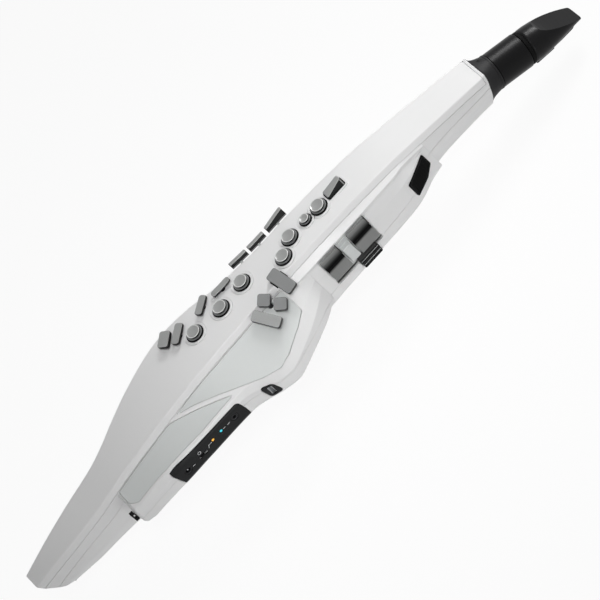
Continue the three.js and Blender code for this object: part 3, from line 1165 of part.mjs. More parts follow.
const mainBoardShares = {
  fromAlong: 0.2247, toAlong: 0.4199, fromAcross: -1.125, toAcross: 0.75, up: 0.4651,
};
const mainBoard = { thick: 1.6, post: 3, gap: 0.3 };
const boardFoot = mainBoardShares.up * bodyDepth;
addNode("main_board", block(
  [xAt(mainBoardShares.fromAlong), mainBoardShares.fromAcross * bodyHalfWidth, boardFoot],
  [xAt(mainBoardShares.toAlong), mainBoardShares.toAcross * bodyHalfWidth, boardFoot + mainBoard.thick],
), "board");
const boardPostShares = [[0.256, -0.81], [0.392, -0.81], [0.413, 0.47]];
for (const [along, across] of boardPostShares) {
  const place = frameAt(xAt(along), across * bodyHalfWidth, 0);
  backAdds.push(rod(mainBoard.post, 0, boardFoot - mainBoard.gap, place, stemSides).intersect(bodyShell));
}

// Under the deck: the key board on posts from the front cover, and the rubber dome sheet above it
const keyBoard = {
  drop: 16.6, thick: 1.6, corner: 1, post: 2.2, gap: 0.3, sheet: 0.8, dome: 3, domeTop: 1.9, clear: 1.8,
};
const keyBoardShares = [
  [0.3258, -0.406], [0.6463, -0.406], [0.6463, 0.375], [0.4617, 0.375], [0.4233, 0.625], [0.3955, 0.78],
  [0.3258, 0.78],
];
const keyBoardCorners = keyBoardShares.map(([along, across]) => {
  return [xAt(along), across * bodyHalfWidth, keyBoard.corner];
});
const keyBoardFoot = bodyDepth - keyBoard.drop;
addNode("key_board", prism(keyBoardCorners, keyBoardFoot, keyBoardFoot + keyBoard.thick), "board");
const sheetLow = keyBoardFoot + keyBoard.thick + keyBoard.gap;
const domes = domePlaces.map(([x, y]) => {
  const top = deckHeight(x) + roundKey.stemFoot - keyBoard.clear;
  const profile = [[0, sheetLow], [keyBoard.dome, sheetLow], [keyBoard.domeTop, top], [0, top]];
  return turned(profile, frameAt(x, y, 0), stemSides);
});
const keyPostShares = [[0.3397, 0.0625], [0.3955, -0.25], [0.4861, -0.1875], [0.6376, -0.219]];
const keyPosts = keyPostShares.map(([along, across]) => frameAt(xAt(along), across * bodyHalfWidth, 0));
const postHoles = keyPosts.map((place) => {
  return rod(keyBoard.post + slotGap, keyBoardFoot, bodyDepth, place, stemSides);
});
const sheet = prism(insetCorners(keyBoardCorners, keyBoard.corner), sheetLow, sheetLow + keyBoard.sheet);
addNode("dome_sheet", sheet.add(unionOf(domes)).subtract(unionOf(postHoles)), "silicone");
const underDeck = coreLoft(wall / 2);
for (const place of keyPosts) {
  deckPads.push(rod(keyBoard.post, sheetLow, bodyDepth, place, stemSides).intersect(underDeck));
}

// The three covers, with their pads, posts and openings
const deckOpenings = unionOf([...deckCuts, ...tableCuts]);
const rearOpenings = unionOf([palmOpening, lowPalmOpening, ...wallCuts, ...backCuts, grilleHole, headBore]);
addNode("front_cover", frontCover.add(unionOf(deckPads)).subtract(deckOpenings), "white");
addNode("side_casing", sideCasing.subtract(unionOf(casingCuts)), "white");
addNode("rear_cover", rearCover.add(unionOf(backAdds)).subtract(rearOpenings), "white");

// The origin lies under the middle of the whole instrument, in the plane it rests on
const bounds = new THREE.Box3().setFromObject(instrument);
const middle = bounds.getCenter(new THREE.Vector3());
for (const node of instrument.children) {
  node.geometry.translate(-middle.x, -middle.y, -bounds.min.z);
}

export default instrument;
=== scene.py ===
import json
import math

import bmesh
import bpy
from mathutils import Matrix, Vector
from mathutils.bvhtree import BVHTree

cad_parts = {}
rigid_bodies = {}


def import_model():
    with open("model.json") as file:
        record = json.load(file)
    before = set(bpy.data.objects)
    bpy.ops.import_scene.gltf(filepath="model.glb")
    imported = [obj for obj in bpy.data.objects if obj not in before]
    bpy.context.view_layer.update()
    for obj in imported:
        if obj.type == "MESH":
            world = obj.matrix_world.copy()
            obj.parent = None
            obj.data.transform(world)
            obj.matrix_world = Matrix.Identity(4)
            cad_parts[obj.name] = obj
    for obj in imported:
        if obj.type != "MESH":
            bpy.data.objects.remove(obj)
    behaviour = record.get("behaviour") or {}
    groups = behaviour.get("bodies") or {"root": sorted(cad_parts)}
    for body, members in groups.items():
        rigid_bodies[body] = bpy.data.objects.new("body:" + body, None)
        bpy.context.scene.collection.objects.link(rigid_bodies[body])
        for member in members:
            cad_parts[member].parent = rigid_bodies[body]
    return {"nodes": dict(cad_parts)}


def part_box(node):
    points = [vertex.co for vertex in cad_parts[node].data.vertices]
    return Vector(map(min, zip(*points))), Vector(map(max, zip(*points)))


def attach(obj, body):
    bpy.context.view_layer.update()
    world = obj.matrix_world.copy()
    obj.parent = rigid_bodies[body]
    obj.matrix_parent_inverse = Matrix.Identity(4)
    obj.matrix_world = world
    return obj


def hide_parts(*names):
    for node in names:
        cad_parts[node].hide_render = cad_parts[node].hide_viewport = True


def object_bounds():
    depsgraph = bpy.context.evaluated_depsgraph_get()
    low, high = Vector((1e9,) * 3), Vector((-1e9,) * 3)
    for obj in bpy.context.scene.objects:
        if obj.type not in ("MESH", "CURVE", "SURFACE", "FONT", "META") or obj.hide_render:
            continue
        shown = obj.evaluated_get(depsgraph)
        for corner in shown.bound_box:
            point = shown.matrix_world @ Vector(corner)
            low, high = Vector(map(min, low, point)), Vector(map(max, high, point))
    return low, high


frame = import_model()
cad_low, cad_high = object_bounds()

# ---- Hollow form of the body ----
# The instrument is a slim horn moulded in ABS, with a left-hand table and a control box growing out of it.
# All of its covers follow the same lines, drawn here as smooth curves along the length.
# Each cover is later trimmed out of this one hollow form, with an even wall and fine parting gaps.

instrument_length, body_depth, half_width = 574, 86, 32
wall, seam, overrun = 2.2, 0.3, 2


def x_at(share):
    return (share - 0.5) * instrument_length


def line_through(shares, unit):
    """A smooth line through pairs of place and value, level at its crests."""
    def slope(i):
        before, after = shares[max(i - 1, 0)], shares[min(i + 1, len(shares) - 1)]
        inside = 0 < i < len(shares) - 1
        if inside and (after[1] - shares[i][1]) * (shares[i][1] - before[1]) <= 0:
            return 0.0
        return (after[1] - before[1]) / (after[0] - before[0])

    slopes = [slope(i) for i in range(len(shares))]

    def value_at(x):
        spot = min(max(x / instrument_length + 0.5, shares[0][0]), shares[-1][0])
        k = next(i for i in range(1, len(shares)) if shares[i][0] >= spot)
        (p0, v0), (p1, v1) = shares[k - 1], shares[k]
        t = (spot - p0) / (p1 - p0)
        bend = (2 * t**3 - 3 * t**2 + 1) * v0 + (3 * t**2 - 2 * t**3) * v1
        swing = (t**3 - 2 * t**2 + t) * slopes[k - 1] + (t**3 - t**2) * slopes[k]
        return unit * (bend + swing * (p1 - p0))

    return value_at


deck_height = line_through([
    (0, 0.471), (0.014, 0.49), (0.115, 0.621), (0.19, 0.777), (0.265, 0.907), (0.341, 0.985),
    (0.429, 0.997), (0.517, 1), (0.567, 0.993), (0.642, 0.97), (0.693, 0.93), (0.756, 0.845),
    (0.831, 0.752), (0.854, 0.721),
], body_depth)
right_edge = line_through([
    (0, 0.22), (0.014, 0.235), (0.115, 0.375), (0.19, 0.5), (0.265, 0.625), (0.341, 0.67), (0.429, 0.625),
    (0.517, 0.578), (0.567, 0.56), (0.642, 0.545), (0.693, 0.5), (0.756, 0.42), (0.831, 0.353),
    (0.854, 0.33),
], half_width)
left_edge = line_through([
    (0, 0.25), (0.014, 0.29), (0.064, 0.428), (0.115, 0.495), (0.16, 0.47), (0.19, 0.53), (0.215, 0.634),
    (0.265, 0.81), (0.316, 0.93), (0.341, 0.94), (0.391, 0.85), (0.429, 0.69), (0.517, 0.535),
    (0.567, 0.56), (0.693, 0.53), (0.756, 0.525), (0.831, 0.484), (0.854, 0.46),
], half_width)
left_flank = line_through([
    (0, 0.4), (0.064, 0.56), (0.115, 0.68), (0.16, 0.86), (0.215, 1.24), (0.265, 1.31), (0.391, 1.31),
    (0.429, 1.2), (0.517, 0.98), (0.567, 0.87), (0.693, 0.74), (0.756, 0.68), (0.854, 0.6),
], half_width)
right_flank = line_through([
    (0, 0.36), (0.014, 0.38), (0.115, 0.52), (0.19, 0.64), (0.517, 0.7), (0.693, 0.65), (0.756, 0.58),
    (0.854, 0.48),
], half_width)
back_height = line_through([
    (0, 0.09), (0.044, 0.06), (0.077, 0.045), (0.139, 0.025), (0.2, 0.003), (0.215, 0), (0.405, 0),
    (0.42, 0.04), (0.444, 0.18), (0.47, 0.222), (0.517, 0.235), (0.567, 0.248), (0.642, 0.28),
    (0.693, 0.34), (0.756, 0.425), (0.854, 0.39),
], body_depth)
back_right = line_through([
    (0, 0.1), (0.139, 0.12), (0.215, 0.25), (0.409, 0.25), (0.517, 0.36), (0.693, 0.45), (0.854, 0.38),
], half_width)
back_left = line_through([
    (0, 0.18), (0.115, 0.3), (0.16, 0.5), (0.215, 1.06), (0.409, 1.06), (0.46, 0.9), (0.517, 0.66),
    (0.693, 0.5), (0.854, 0.5),
], half_width)
parting_height = line_through([
    (0, 0.314), (0.026, 0.349), (0.089, 0.424), (0.139, 0.488), (0.169, 0.581), (0.225, 0.69),
    (0.354, 0.709), (0.422, 0.69), (0.467, 0.65), (0.507, 0.57), (0.521, 0.523), (0.567, 0.531),
    (0.667, 0.564), (0.706, 0.593), (0.74, 0.674), (0.854, 0.61),
], body_depth)


def rounded(corners, steps=6):
    """A closed outline whose corners (a, b, radius) become arcs."""
    loop = []
    for i, (a, b, radius) in enumerate(corners):
        here = Vector((a, b))
        back = Vector(corners[i - 1][:2]) - here
        on = Vector(corners[(i + 1) % len(corners)][:2]) - here
        reach = min(back.length, on.length) * 0.47
        back.normalize()
        on.normalize()
        half = math.acos(max(-1.0, min(1.0, back.dot(on)))) / 2
        pull = min(radius / math.tan(half), reach) if radius > 0 else 0.0
        start, end = here + back * pull, here + on * pull
        stops = steps if radius > 0 else 0
        for step in range(stops + 1):
            t = step / stops if stops else 0.0
            spot = start * (1 - t) ** 2 + here * (2 * t * (1 - t)) + end * t**2
            loop.append((spot.x, spot.y))
    return loop


def inset(corners, depth):
    """The same corners moved inward by an even wall."""
    area = sum(a * corners[(i + 1) % len(corners)][1] - b * corners[(i + 1) % len(corners)][0]
               for i, (a, b, _) in enumerate(corners))
    moved = []
    for i, (a, b, radius) in enumerate(corners):
        into = (Vector((a, b)) - Vector(corners[i - 1][:2])).normalized()
        out = (Vector(corners[(i + 1) % len(corners)][:2]) - Vector((a, b))).normalized()
        normal = Vector((-into.y - out.y, into.x + out.x)) * math.copysign(1, area)
        normal *= depth / (normal.length_squared / 2)
        moved.append((a + normal.x, b + normal.y, max(radius - depth, depth / 4) if radius > 0 else 0))
    return moved


def solid(points, faces):
    """A closed working form in millimetres, facing out."""
    mesh = bpy.data.meshes.new("form")
    mesh.from_pydata([tuple(p) for p in points], [], faces)
    shape = bmesh.new()
    shape.from_mesh(mesh)
    bmesh.ops.remove_doubles(shape, verts=shape.verts, dist=1e-4)
    bmesh.ops.recalc_face_normals(shape, faces=shape.faces)
    if shape.calc_volume(signed=True) < 0:
        bmesh.ops.reverse_faces(shape, faces=shape.faces)
    shape.to_mesh(mesh)
    shape.free()
    form = bpy.data.objects.new("form", mesh)
    bpy.context.scene.collection.objects.link(form)
    return form


def loft(rings, matrix=Matrix()):
    """A solid through a row of closed rings with as many points each."""
    count, last = len(rings[0]), (len(rings) - 1) * len(rings[0])
    points = [matrix @ Vector(p) for ring in rings for p in ring]
    faces = [
        [k * count + i, k * count + (i + 1) % count, (k + 1) * count + (i + 1) % count, (k + 1) * count + i]
        for k in range(len(rings) - 1) for i in range(count)
    ]
    faces += [list(range(count))[::-1], [last + i for i in range(count)]]
    return solid(points, faces)


def combine(base, others, how="DIFFERENCE"):
    """The base form with the other forms cut away, added or kept in common."""
    for other in others:
        tool = base.modifiers.new("tool", "BOOLEAN")
        tool.operation, tool.solver, tool.object = how, "MANIFOLD", other
    view = bpy.context.evaluated_depsgraph_get()
    mesh = bpy.data.meshes.new_from_object(base.evaluated_get(view))
    base.modifiers.clear()
    base.data = mesh
    return base


def copy_of(form):
    twin = form.copy()
    twin.data = form.data.copy()
    bpy.context.scene.collection.objects.link(twin)
    return twin


core = dict(bevel_out=3.1, bevel_drop=4.4, edge_round=1.6, bevel_round=1.2, flank_round=14, back_round=10)
tail = dict(end=x_at(0), start=x_at(0.0819), lean=0.76)
head = dict(end=x_at(0.8585), start=x_at(0.8223), lean=0.36, rim=2.5)


def groove_height(x):
    return deck_height(x) - core["bevel_drop"]


def core_corners(x):
    deck, back = deck_height(x), back_height(x)
    waist = back + 0.52 * (groove_height(x) - back)
    return [
        (-right_edge(x), deck, core["edge_round"]),
        (left_edge(x), deck, core["edge_round"]),
        (left_edge(x) + core["bevel_out"], groove_height(x), core["bevel_round"]),
        (left_flank(x), waist, core["flank_round"]),
        (back_left(x), back, core["back_round"]),
        (-back_right(x), back, core["back_round"]),
        (-right_flank(x), waist, core["flank_round"]),
        (-right_edge(x) - core["bevel_out"], groove_height(x), core["bevel_round"]),
    ]


def leaned(x, z):
    """The ends are cut aslant: a ring leans along the instrument with its height below the deck."""
    at_tail = min(max((tail["start"] - x) / (tail["start"] - tail["end"]), 0), 1)
    at_head = min(max((x - head["start"]) / (head["end"] - head["start"]), 0), 1)
    return x + (tail["lean"] * at_tail - head["lean"] * at_head) * (deck_height(x) - z)


def ring_at(x, corners, steps=6):
    return [(leaned(x, z), y, z) for y, z in rounded(corners, steps)]


def stations(low, high, step=3.6):
    count = max(2, round((high - low) / step))
    return [low + (high - low) * i / count for i in range(count + 1)]


def core_loft(depth, steps=6):
    places = stations(tail["end"] + depth, head["end"] - depth)
    return loft([ring_at(x, inset(core_corners(x), depth) if depth else core_corners(x), steps) for x in places])


wing_edge = line_through([
    (0.157, 1.19), (0.166, 1.28), (0.19, 1.4), (0.225, 1.515), (0.275, 1.578), (0.354, 1.578),
    (0.378, 1.64), (0.399, 1.81), (0.422, 1.856), (0.441, 1.734), (0.467, 1.484), (0.491, 1.22),
    (0.507, 1.047), (0.525, 0.9),
], half_width)
wing_edge_height = line_through([
    (0.157, 0.663), (0.166, 0.672), (0.19, 0.73), (0.225, 0.791), (0.275, 0.808), (0.354, 0.82),
    (0.378, 0.812), (0.399, 0.785), (0.422, 0.781), (0.441, 0.791), (0.467, 0.797), (0.507, 0.797),
], body_depth)
wing_outer = line_through([
    (0.157, 1.28), (0.166, 1.39), (0.19, 1.53), (0.225, 1.656), (0.275, 1.672), (0.354, 1.675),
    (0.378, 1.8), (0.399, 1.945), (0.422, 2.01), (0.441, 1.9), (0.467, 1.68), (0.491, 1.42), (0.507, 1.21),
    (0.525, 0.95),
], half_width)
wing_outer_height = line_through([
    (0.157, 0.628), (0.166, 0.628), (0.19, 0.68), (0.225, 0.756), (0.275, 0.773), (0.354, 0.773),
    (0.399, 0.721), (0.422, 0.709), (0.507, 0.698),
], body_depth)
wing_foot_height = line_through([
    (0.157, 0.488), (0.166, 0.483), (0.19, 0.535), (0.225, 0.587), (0.354, 0.588), (0.399, 0.581),
    (0.422, 0.567), (0.467, 0.547), (0.507, 0.5),
], body_depth)
wing = dict(tail=x_at(0.1568), head=x_at(0.5244), inner=4, edge_round=2.5, outer_round=3, foot_round=5, flare=0.6,
            end_round=5)


def groove_out(x):
    return right_edge(x) + core["bevel_out"]


def wing_corners(x):
    back = back_height(x) + wall
    return [
        (-wing["inner"], groove_height(x), 0),
        (-groove_out(x), groove_height(x), 0),
        (-wing_edge(x), wing_edge_height(x), wing["edge_round"]),
        (-wing_outer(x), wing_outer_height(x), wing["outer_round"]),
        (-wing_outer(x) - wing["flare"], wing_foot_height(x), wing["foot_round"]),
        (-wing["inner"] - back_right(x), back, 0),
        (-wing["inner"], back, 0),
    ]


def wing_loft(depth, steps=6):
    end, rings = wing["end_round"], []
    for reach, pull in ((0, 0.7), (0.12, 0.48), (0.3, 0.25), (0.55, 0.09)):
        ring = inset(wing_corners(wing["tail"] + end), end * pull + depth)
        rings.append(ring_at(wing["tail"] + end * reach + depth, ring, steps))
    for x in stations(wing["tail"] + end + depth, wing["head"] - depth, 3):
        rings.append(ring_at(x, inset(wing_corners(x), depth), steps))
    return loft(rings)


hand = dict(tail=x_at(0.4895), head=x_at(0.7404), inner=4, step_in=0.5, step_drop=3.2, edge_round=0.8, soft_round=3,
            foot_round=6, foot_out=30, shoulder_out=29, strip_out=26.8, strip_drop=8.4, shoulder_drop=21.3,
            foot_drop=51)
hand_width = line_through([
    (0.49, 1), (0.667, 0.965), (0.689, 0.93), (0.706, 0.86), (0.73, 0.7), (0.741, 0.64),
], hand["foot_out"])
hand_strip = line_through([(0.49, 1), (0.64, 0.98), (0.68, 0.9), (0.702, 0.78), (0.741, 0.7)], hand["strip_out"])
hand_rise = line_through([
    (0.49, 0), (0.567, 0.035), (0.667, 0.05), (0.689, 0.06), (0.72, 0.12), (0.741, 0.13),
], hand["foot_drop"])
shoulder_rise = line_through([(0.49, 0), (0.667, -0.01), (0.706, 0.02), (0.741, 0.06)], hand["foot_drop"])


def hand_corners(x, plain=False):
    strip_z = min(body_depth - hand["strip_drop"] + shoulder_rise(x), groove_height(x) - hand["step_drop"] / 2)
    shoulder_z = body_depth - hand["shoulder_drop"] + shoulder_rise(x)
    shoulder = max(hand_width(x) - (hand["foot_out"] - hand["shoulder_out"]), groove_out(x))
    corners = [
        (-hand["inner"], groove_height(x), 0),
        (-groove_out(x), groove_height(x), 0),
        (-max(hand_strip(x), groove_out(x) + hand["step_in"]), strip_z, hand["edge_round"]),
        (-max(hand_strip(x) - hand["step_in"], groove_out(x)), strip_z - hand["step_drop"], hand["edge_round"]),
        (-shoulder, shoulder_z, hand["soft_round"]),
        (-hand_width(x), body_depth - hand["foot_drop"] + hand_rise(x), hand["foot_round"]),
        (-hand["inner"] - back_right(x), back_height(x) + wall, 0),
        (-hand["inner"], back_height(x) + wall, 0),
    ]
    return [corner for i, corner in enumerate(corners) if not (plain and i == 3)]


def hand_loft(depth, steps=6):
    places = stations(hand["tail"] + depth, hand["head"] - depth, 3)
    if depth:
        return loft([ring_at(x, inset(hand_corners(x, plain=True), depth), steps) for x in places])
    return loft([ring_at(x, hand_corners(x), steps) for x in places])


body_form = combine(core_loft(0), [wing_loft(0), hand_loft(0)], "UNION")
hollow = combine(core_loft(wall, 2), [wing_loft(wall, 2), hand_loft(wall, 2)], "UNION")
shell = combine(copy_of(body_form), [hollow])

# ---- Battery cells ----
# Six rechargeable cells lie end to end in three rows inside the control box, under the battery door.
# Each is a rolled steel can in a printed shrink sleeve; welded nickel tabs join them.


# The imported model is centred, so the drawn places move by one even step: read it off the round G key
MM = 0.001
g_along, g_across, key_rise = 0.5192, -0.244, 3.8
g_low, g_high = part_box("key_g")
placed = Vector((
    (g_low.x + g_high.x) / 2 - x_at(g_along) * MM,
    (g_low.y + g_high.y) / 2 - g_across * half_width * MM,
    g_high.z - (deck_height(x_at(g_along)) + key_rise) * MM,
))
to_frame = Matrix.Translation(placed) @ Matrix.Scale(MM, 4)


def basis(origin, along, outward):
    """A frame with its X along a surface and its Z out of it."""
    side = outward.cross(along).normalized()
    turn = Matrix((along.normalized(), side, outward.normalized())).transposed().to_4x4()
    return Matrix.Translation(origin) @ turn


def turned(profile, matrix=Matrix(), sides=56):
    """A turned solid about its own Z, from radius and height pairs."""
    angles = [2 * math.pi * i / sides for i in range(sides)]
    points = [matrix @ Vector((r * math.cos(a), r * math.sin(a), h)) for r, h in profile for a in angles]
    faces = [
        [k * sides + i, k * sides + (i + 1) % sides, (k + 1) * sides + (i + 1) % sides, (k + 1) * sides + i]
        for k in range(len(profile) - 1) for i in range(sides)
    ]
    return solid(points, faces)


def prism(corners, low, high, matrix=Matrix(), steps=6):
    loop = rounded(corners, steps)
    return loft([[(a, b, low) for a, b in loop], [(a, b, high) for a, b in loop]], matrix)


def block(low, high, matrix=Matrix()):
    return prism([(low[0], low[1], 0), (high[0], low[1], 0), (high[0], high[1], 0), (low[0], high[1], 0)],
                 low[2], high[2], matrix)


def piece(name, form, finish, body="instrument_body", stands_for=None, angle=38, soft=0.0,
          weighted=True):
    """A finished piece in the frame: smooth where it curves, crisp at its edges, riding on its body."""
    mesh = form.data.copy()
    mesh.transform(to_frame)
    for point in mesh.vertices:
        point.co = [min(max(c, low), high) for c, low, high in zip(point.co, cad_low, cad_high)]
    mesh.materials.clear()
    mesh.materials.append(finish)
    mesh.shade_smooth()
    mesh.set_sharp_from_angle(angle=math.radians(angle))
    made = bpy.data.objects.new(name, mesh)
    bpy.context.scene.collection.objects.link(made)
    if soft:
        edge = made.modifiers.new("edge", "BEVEL")
        edge.width, edge.segments, edge.limit_method = soft * MM, 3, "ANGLE"
        edge.angle_limit, edge.use_clamp_overlap, edge.harden_normals = math.radians(30), True, False
    if weighted:
        even = made.modifiers.new("even", "WEIGHTED_NORMAL")
        even.keep_sharp = not soft
    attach(made, body)
    if stands_for:
        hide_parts(stands_for)
    return made


def paint(red, green, blue):
    """A colour read as 0-255, as the shader wants it."""
    shares = [level / 255 for level in (red, green, blue)]
    return (*[c / 12.92 if c <= 0.04045 else ((c + 0.055) / 1.055) ** 2.4 for c in shares], 1.0)


def surface(name, colour, rough, metal=0.0, coat=0.0, coat_rough=0.1, cloud=0.03, cloud_size=40, grain=0.05,
            grain_size=2500, stretch=(1, 1, 1), rough_spread=0.12, shine=0.5):
    """A moulded or sprayed finish: faint clouds in its colour and gloss, and a fine grain."""
    made = bpy.data.materials.new(name)
    made.use_nodes = True
    nodes, links = made.node_tree.nodes, made.node_tree.links
    shader = nodes["Principled BSDF"]
    shader.inputs["Metallic"].default_value = metal
    shader.inputs["Specular IOR Level"].default_value = shine
    shader.inputs["Coat Weight"].default_value = coat
    shader.inputs["Coat Roughness"].default_value = coat_rough
    spot = nodes.new("ShaderNodeTexCoord")
    drawn = nodes.new("ShaderNodeMapping")
    drawn.inputs["Scale"].default_value = stretch
    links.new(spot.outputs["Object"], drawn.inputs["Vector"])
    clouds = nodes.new("ShaderNodeTexNoise")
    clouds.inputs["Scale"].default_value = cloud_size
    clouds.inputs["Detail"].default_value = 3
    links.new(drawn.outputs["Vector"], clouds.inputs["Vector"])
    tint = nodes.new("ShaderNodeMix")
    tint.data_type = "RGBA"
    tint.inputs[6].default_value = (*[c * (1 - cloud) for c in colour[:3]], 1)
    tint.inputs[7].default_value = (*[min(c * (1 + cloud), 1) for c in colour[:3]], 1)
    links.new(clouds.outputs["Fac"], tint.inputs[0])
    links.new(tint.outputs[2], shader.inputs["Base Color"])
    fine = nodes.new("ShaderNodeTexNoise")
    fine.inputs["Scale"].default_value = grain_size
    fine.inputs["Detail"].default_value = 2
    links.new(drawn.outputs["Vector"], fine.inputs["Vector"])
    gloss = nodes.new("ShaderNodeMapRange")
    gloss.inputs["From Min"].default_value = 0.3
    gloss.inputs["From Max"].default_value = 0.7
    gloss.inputs["To Min"].default_value = rough * (1 - rough_spread)
    gloss.inputs["To Max"].default_value = min(rough * (1 + rough_spread), 1)
    links.new(fine.outputs["Fac"], gloss.inputs["Value"])
    links.new(gloss.outputs["Result"], shader.inputs["Roughness"])
    bump = nodes.new("ShaderNodeBump")
    bump.inputs["Strength"].default_value = grain
    bump.inputs["Distance"].default_value = 0.00005
    links.new(fine.outputs["Fac"], bump.inputs["Height"])
    links.new(bump.outputs["Normal"], shader.inputs["Normal"])
    return made


bay = dict(tail=x_at(0.2213), head=x_at(0.4024), right=-0.25 * half_width, left=1.0313 * half_width)
bay_length, bay_width = bay["head"] - bay["tail"], bay["left"] - bay["right"]
cell_radius, cell_pitch, cell_length = 0.1659 * bay_width, 0.3439 * bay_width, 0.4808 * bay_length
cell_gap, cell_rise, cell_tail = 0.6, 0.1659 * bay_width + 6, bay["tail"] + 1.8
first_row = (bay["left"] + bay["right"]) / 2 - 1.4 - cell_pitch

sleeve = surface("shrink_sleeve", paint(63, 74, 82), 0.35, coat=0.3, cloud=0.08, cloud_size=60)
steel = surface("brushed_steel", paint(184, 186, 188), 0.3, metal=1.0, cloud=0.05, stretch=(1, 1, 9), grain=0.08)

for row in range(3):
    for half in range(2):
        start = cell_tail + half * (cell_length + cell_gap)
        lie = basis(Vector((start, first_row + row * cell_pitch, cell_rise)), Vector((0, 1, 0)), Vector((1, 0, 0)))
        can = [(0, 0), (0.62, 0), (0.66, 0.3), (0.93, 0.35), (1, 1.1), (1, cell_length - 2.2),
               (0.95, cell_length - 1.6), (0.5, cell_length - 1.3), (0, cell_length - 1.3)]
        nub = [(0, cell_length - 1.5), (0.4, cell_length - 1.5), (0.4, cell_length - 0.2), (0.34, cell_length),
               (0, cell_length)]
        piece(f"cell_sleeve_{row}{half}", turned([(cell_radius * r, h) for r, h in can], lie), sleeve,
              stands_for="battery_pack")
        piece(f"cell_nub_{row}{half}", turned([(cell_radius * r, h) for r, h in nub], lie), steel,
              stands_for="battery_pack")
tab = block((cell_tail + 3, first_row, cell_rise - 1.5), (cell_tail + 6, first_row + 2 * cell_pitch, cell_rise + 1.5))
piece("cell_tab", tab, steel, stands_for="battery_pack", soft=0.2)

# ---- Main circuit board ----
# A green glass-epoxy board lies over the cells, with the sound chip, memory and power parts soldered on it.
# Moulded posts carry it.


def frame_at(x, y, z, tilt_x=0.0, turn_z=0.0, tilt_y=0.0):
    turn = Matrix.Rotation(turn_z, 4, "Z") @ Matrix.Rotation(tilt_y, 4, "Y") @ Matrix.Rotation(tilt_x, 4, "X")
    return Matrix.Translation((x, y, z)) @ turn


def slanted(length, width, skew, radius):
    half, side, slip = length / 2, width / 2, skew / 2
    return [(-half, -side - slip, radius), (half, -side + slip, radius),
            (half, side + slip, radius), (-half, side - slip, radius)]


def dress(node, finish):
    """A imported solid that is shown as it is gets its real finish."""
    for item in frame["nodes"][node].material_slots:
        item.material = finish


def board_finish(name):
    """Solder mask with copper tracks showing faintly under it."""
    made = surface(name, paint(31, 91, 52), 0.4, coat=0.3, cloud=0.1, cloud_size=80)
    nodes, links = made.node_tree.nodes, made.node_tree.links
    spot = nodes.new("ShaderNodeTexCoord")
    tracks = nodes.new("ShaderNodeTexBrick")
    tracks.inputs["Color1"].default_value = paint(27, 84, 47)
    tracks.inputs["Color2"].default_value = paint(34, 98, 56)
    tracks.inputs["Mortar"].default_value = paint(70, 128, 84)
    tracks.inputs["Scale"].default_value = 260
    tracks.inputs["Mortar Size"].default_value = 0.03
    links.new(spot.outputs["Object"], tracks.inputs["Vector"])
    links.new(tracks.outputs["Color"], nodes["Principled BSDF"].inputs["Base Color"])
    return made


circuit = board_finish("solder_mask")
chip_black = surface("chip_epoxy", paint(24, 24, 26), 0.55, grain=0.1, shine=0.3)
dress("main_board", circuit)
board_top = 0.4651 * body_depth + 1.6
for i, (along, across, length, width, height) in enumerate((
    (0.27, -0.5, 16, 16, 1.6), (0.31, -0.25, 12, 9, 1.4), (0.335, -0.7, 10, 10, 1.4), (0.36, 0.2, 14, 8, 1.5),
    (0.3, 0.4, 8, 6, 2.2), (0.385, -0.4, 7, 5, 3.2), (0.25, 0.1, 6, 6, 4.5), (0.262, 0.36, 6, 6, 4.5),
)):
    chip = prism(slanted(length, width, 0, 0.5), board_top + 0.02, board_top + height,
                 frame_at(x_at(along), across * half_width, 0), 2)
    piece(f"main_chip_{i}", chip, chip_black, soft=0.15)

# ---- Sockets in the box wall ----
# The headphone jack, the mains adapter socket and the flat computer socket sit behind holes in the wall.
# Each has a nickel-plated barrel or tongue in a black moulding.


def left_wall_frame(x, y, z, turn=0.0):
    """X runs along the wall and Z points out of it to the player's left."""
    along = Vector((math.cos(turn), math.sin(turn), 0))
    return basis(Vector((x, y, z)), along, Vector((math.sin(turn), -math.cos(turn), 0)))


strip = dict(recess=1.3, proud=0.1, gap=0.3, sweep=3, jack=2.75, slot_length=8, slot_height=3, lamp=1.3)
socket_depth = 6
headphone, power = (x_at(0.331), 0.6988 * body_depth), (x_at(0.2427), 0.6721 * body_depth)
amber_lamp, cyan_lamp = (x_at(0.2916), 0.7081 * body_depth), (x_at(0.3068), 0.7081 * body_depth)
slider_spot, flat_socket = (x_at(0.2704), 0.6721 * body_depth), (x_at(0.3875), 0.6698 * body_depth)
flat_width, flat_height = 3.4, 9

black_plastic = surface("black_moulding", paint(17, 17, 18), 0.42, cloud=0.1, grain=0.12, grain_size=2200, shine=0.08)


def wall_hole(radius, spot, depth=socket_depth, lip=0.25):
    """A round hole through the wall, with its edge broken."""
    x, z = spot
    out = wing_outer(x)
    wide = radius + 1.5 * lip
    return turned([(0, out - depth), (radius, out - depth), (radius, out - lip), (wide, out + lip / 2 + 0.6),
                   (wide, body_depth), (0, body_depth)], left_wall_frame(x, 0, z))


def wall_slot(length, height, spot):
    x, z = spot
    return prism(slanted(length, height, 0, 0.6), wing_outer(x) - socket_depth, body_depth, left_wall_frame(x, 0, z))


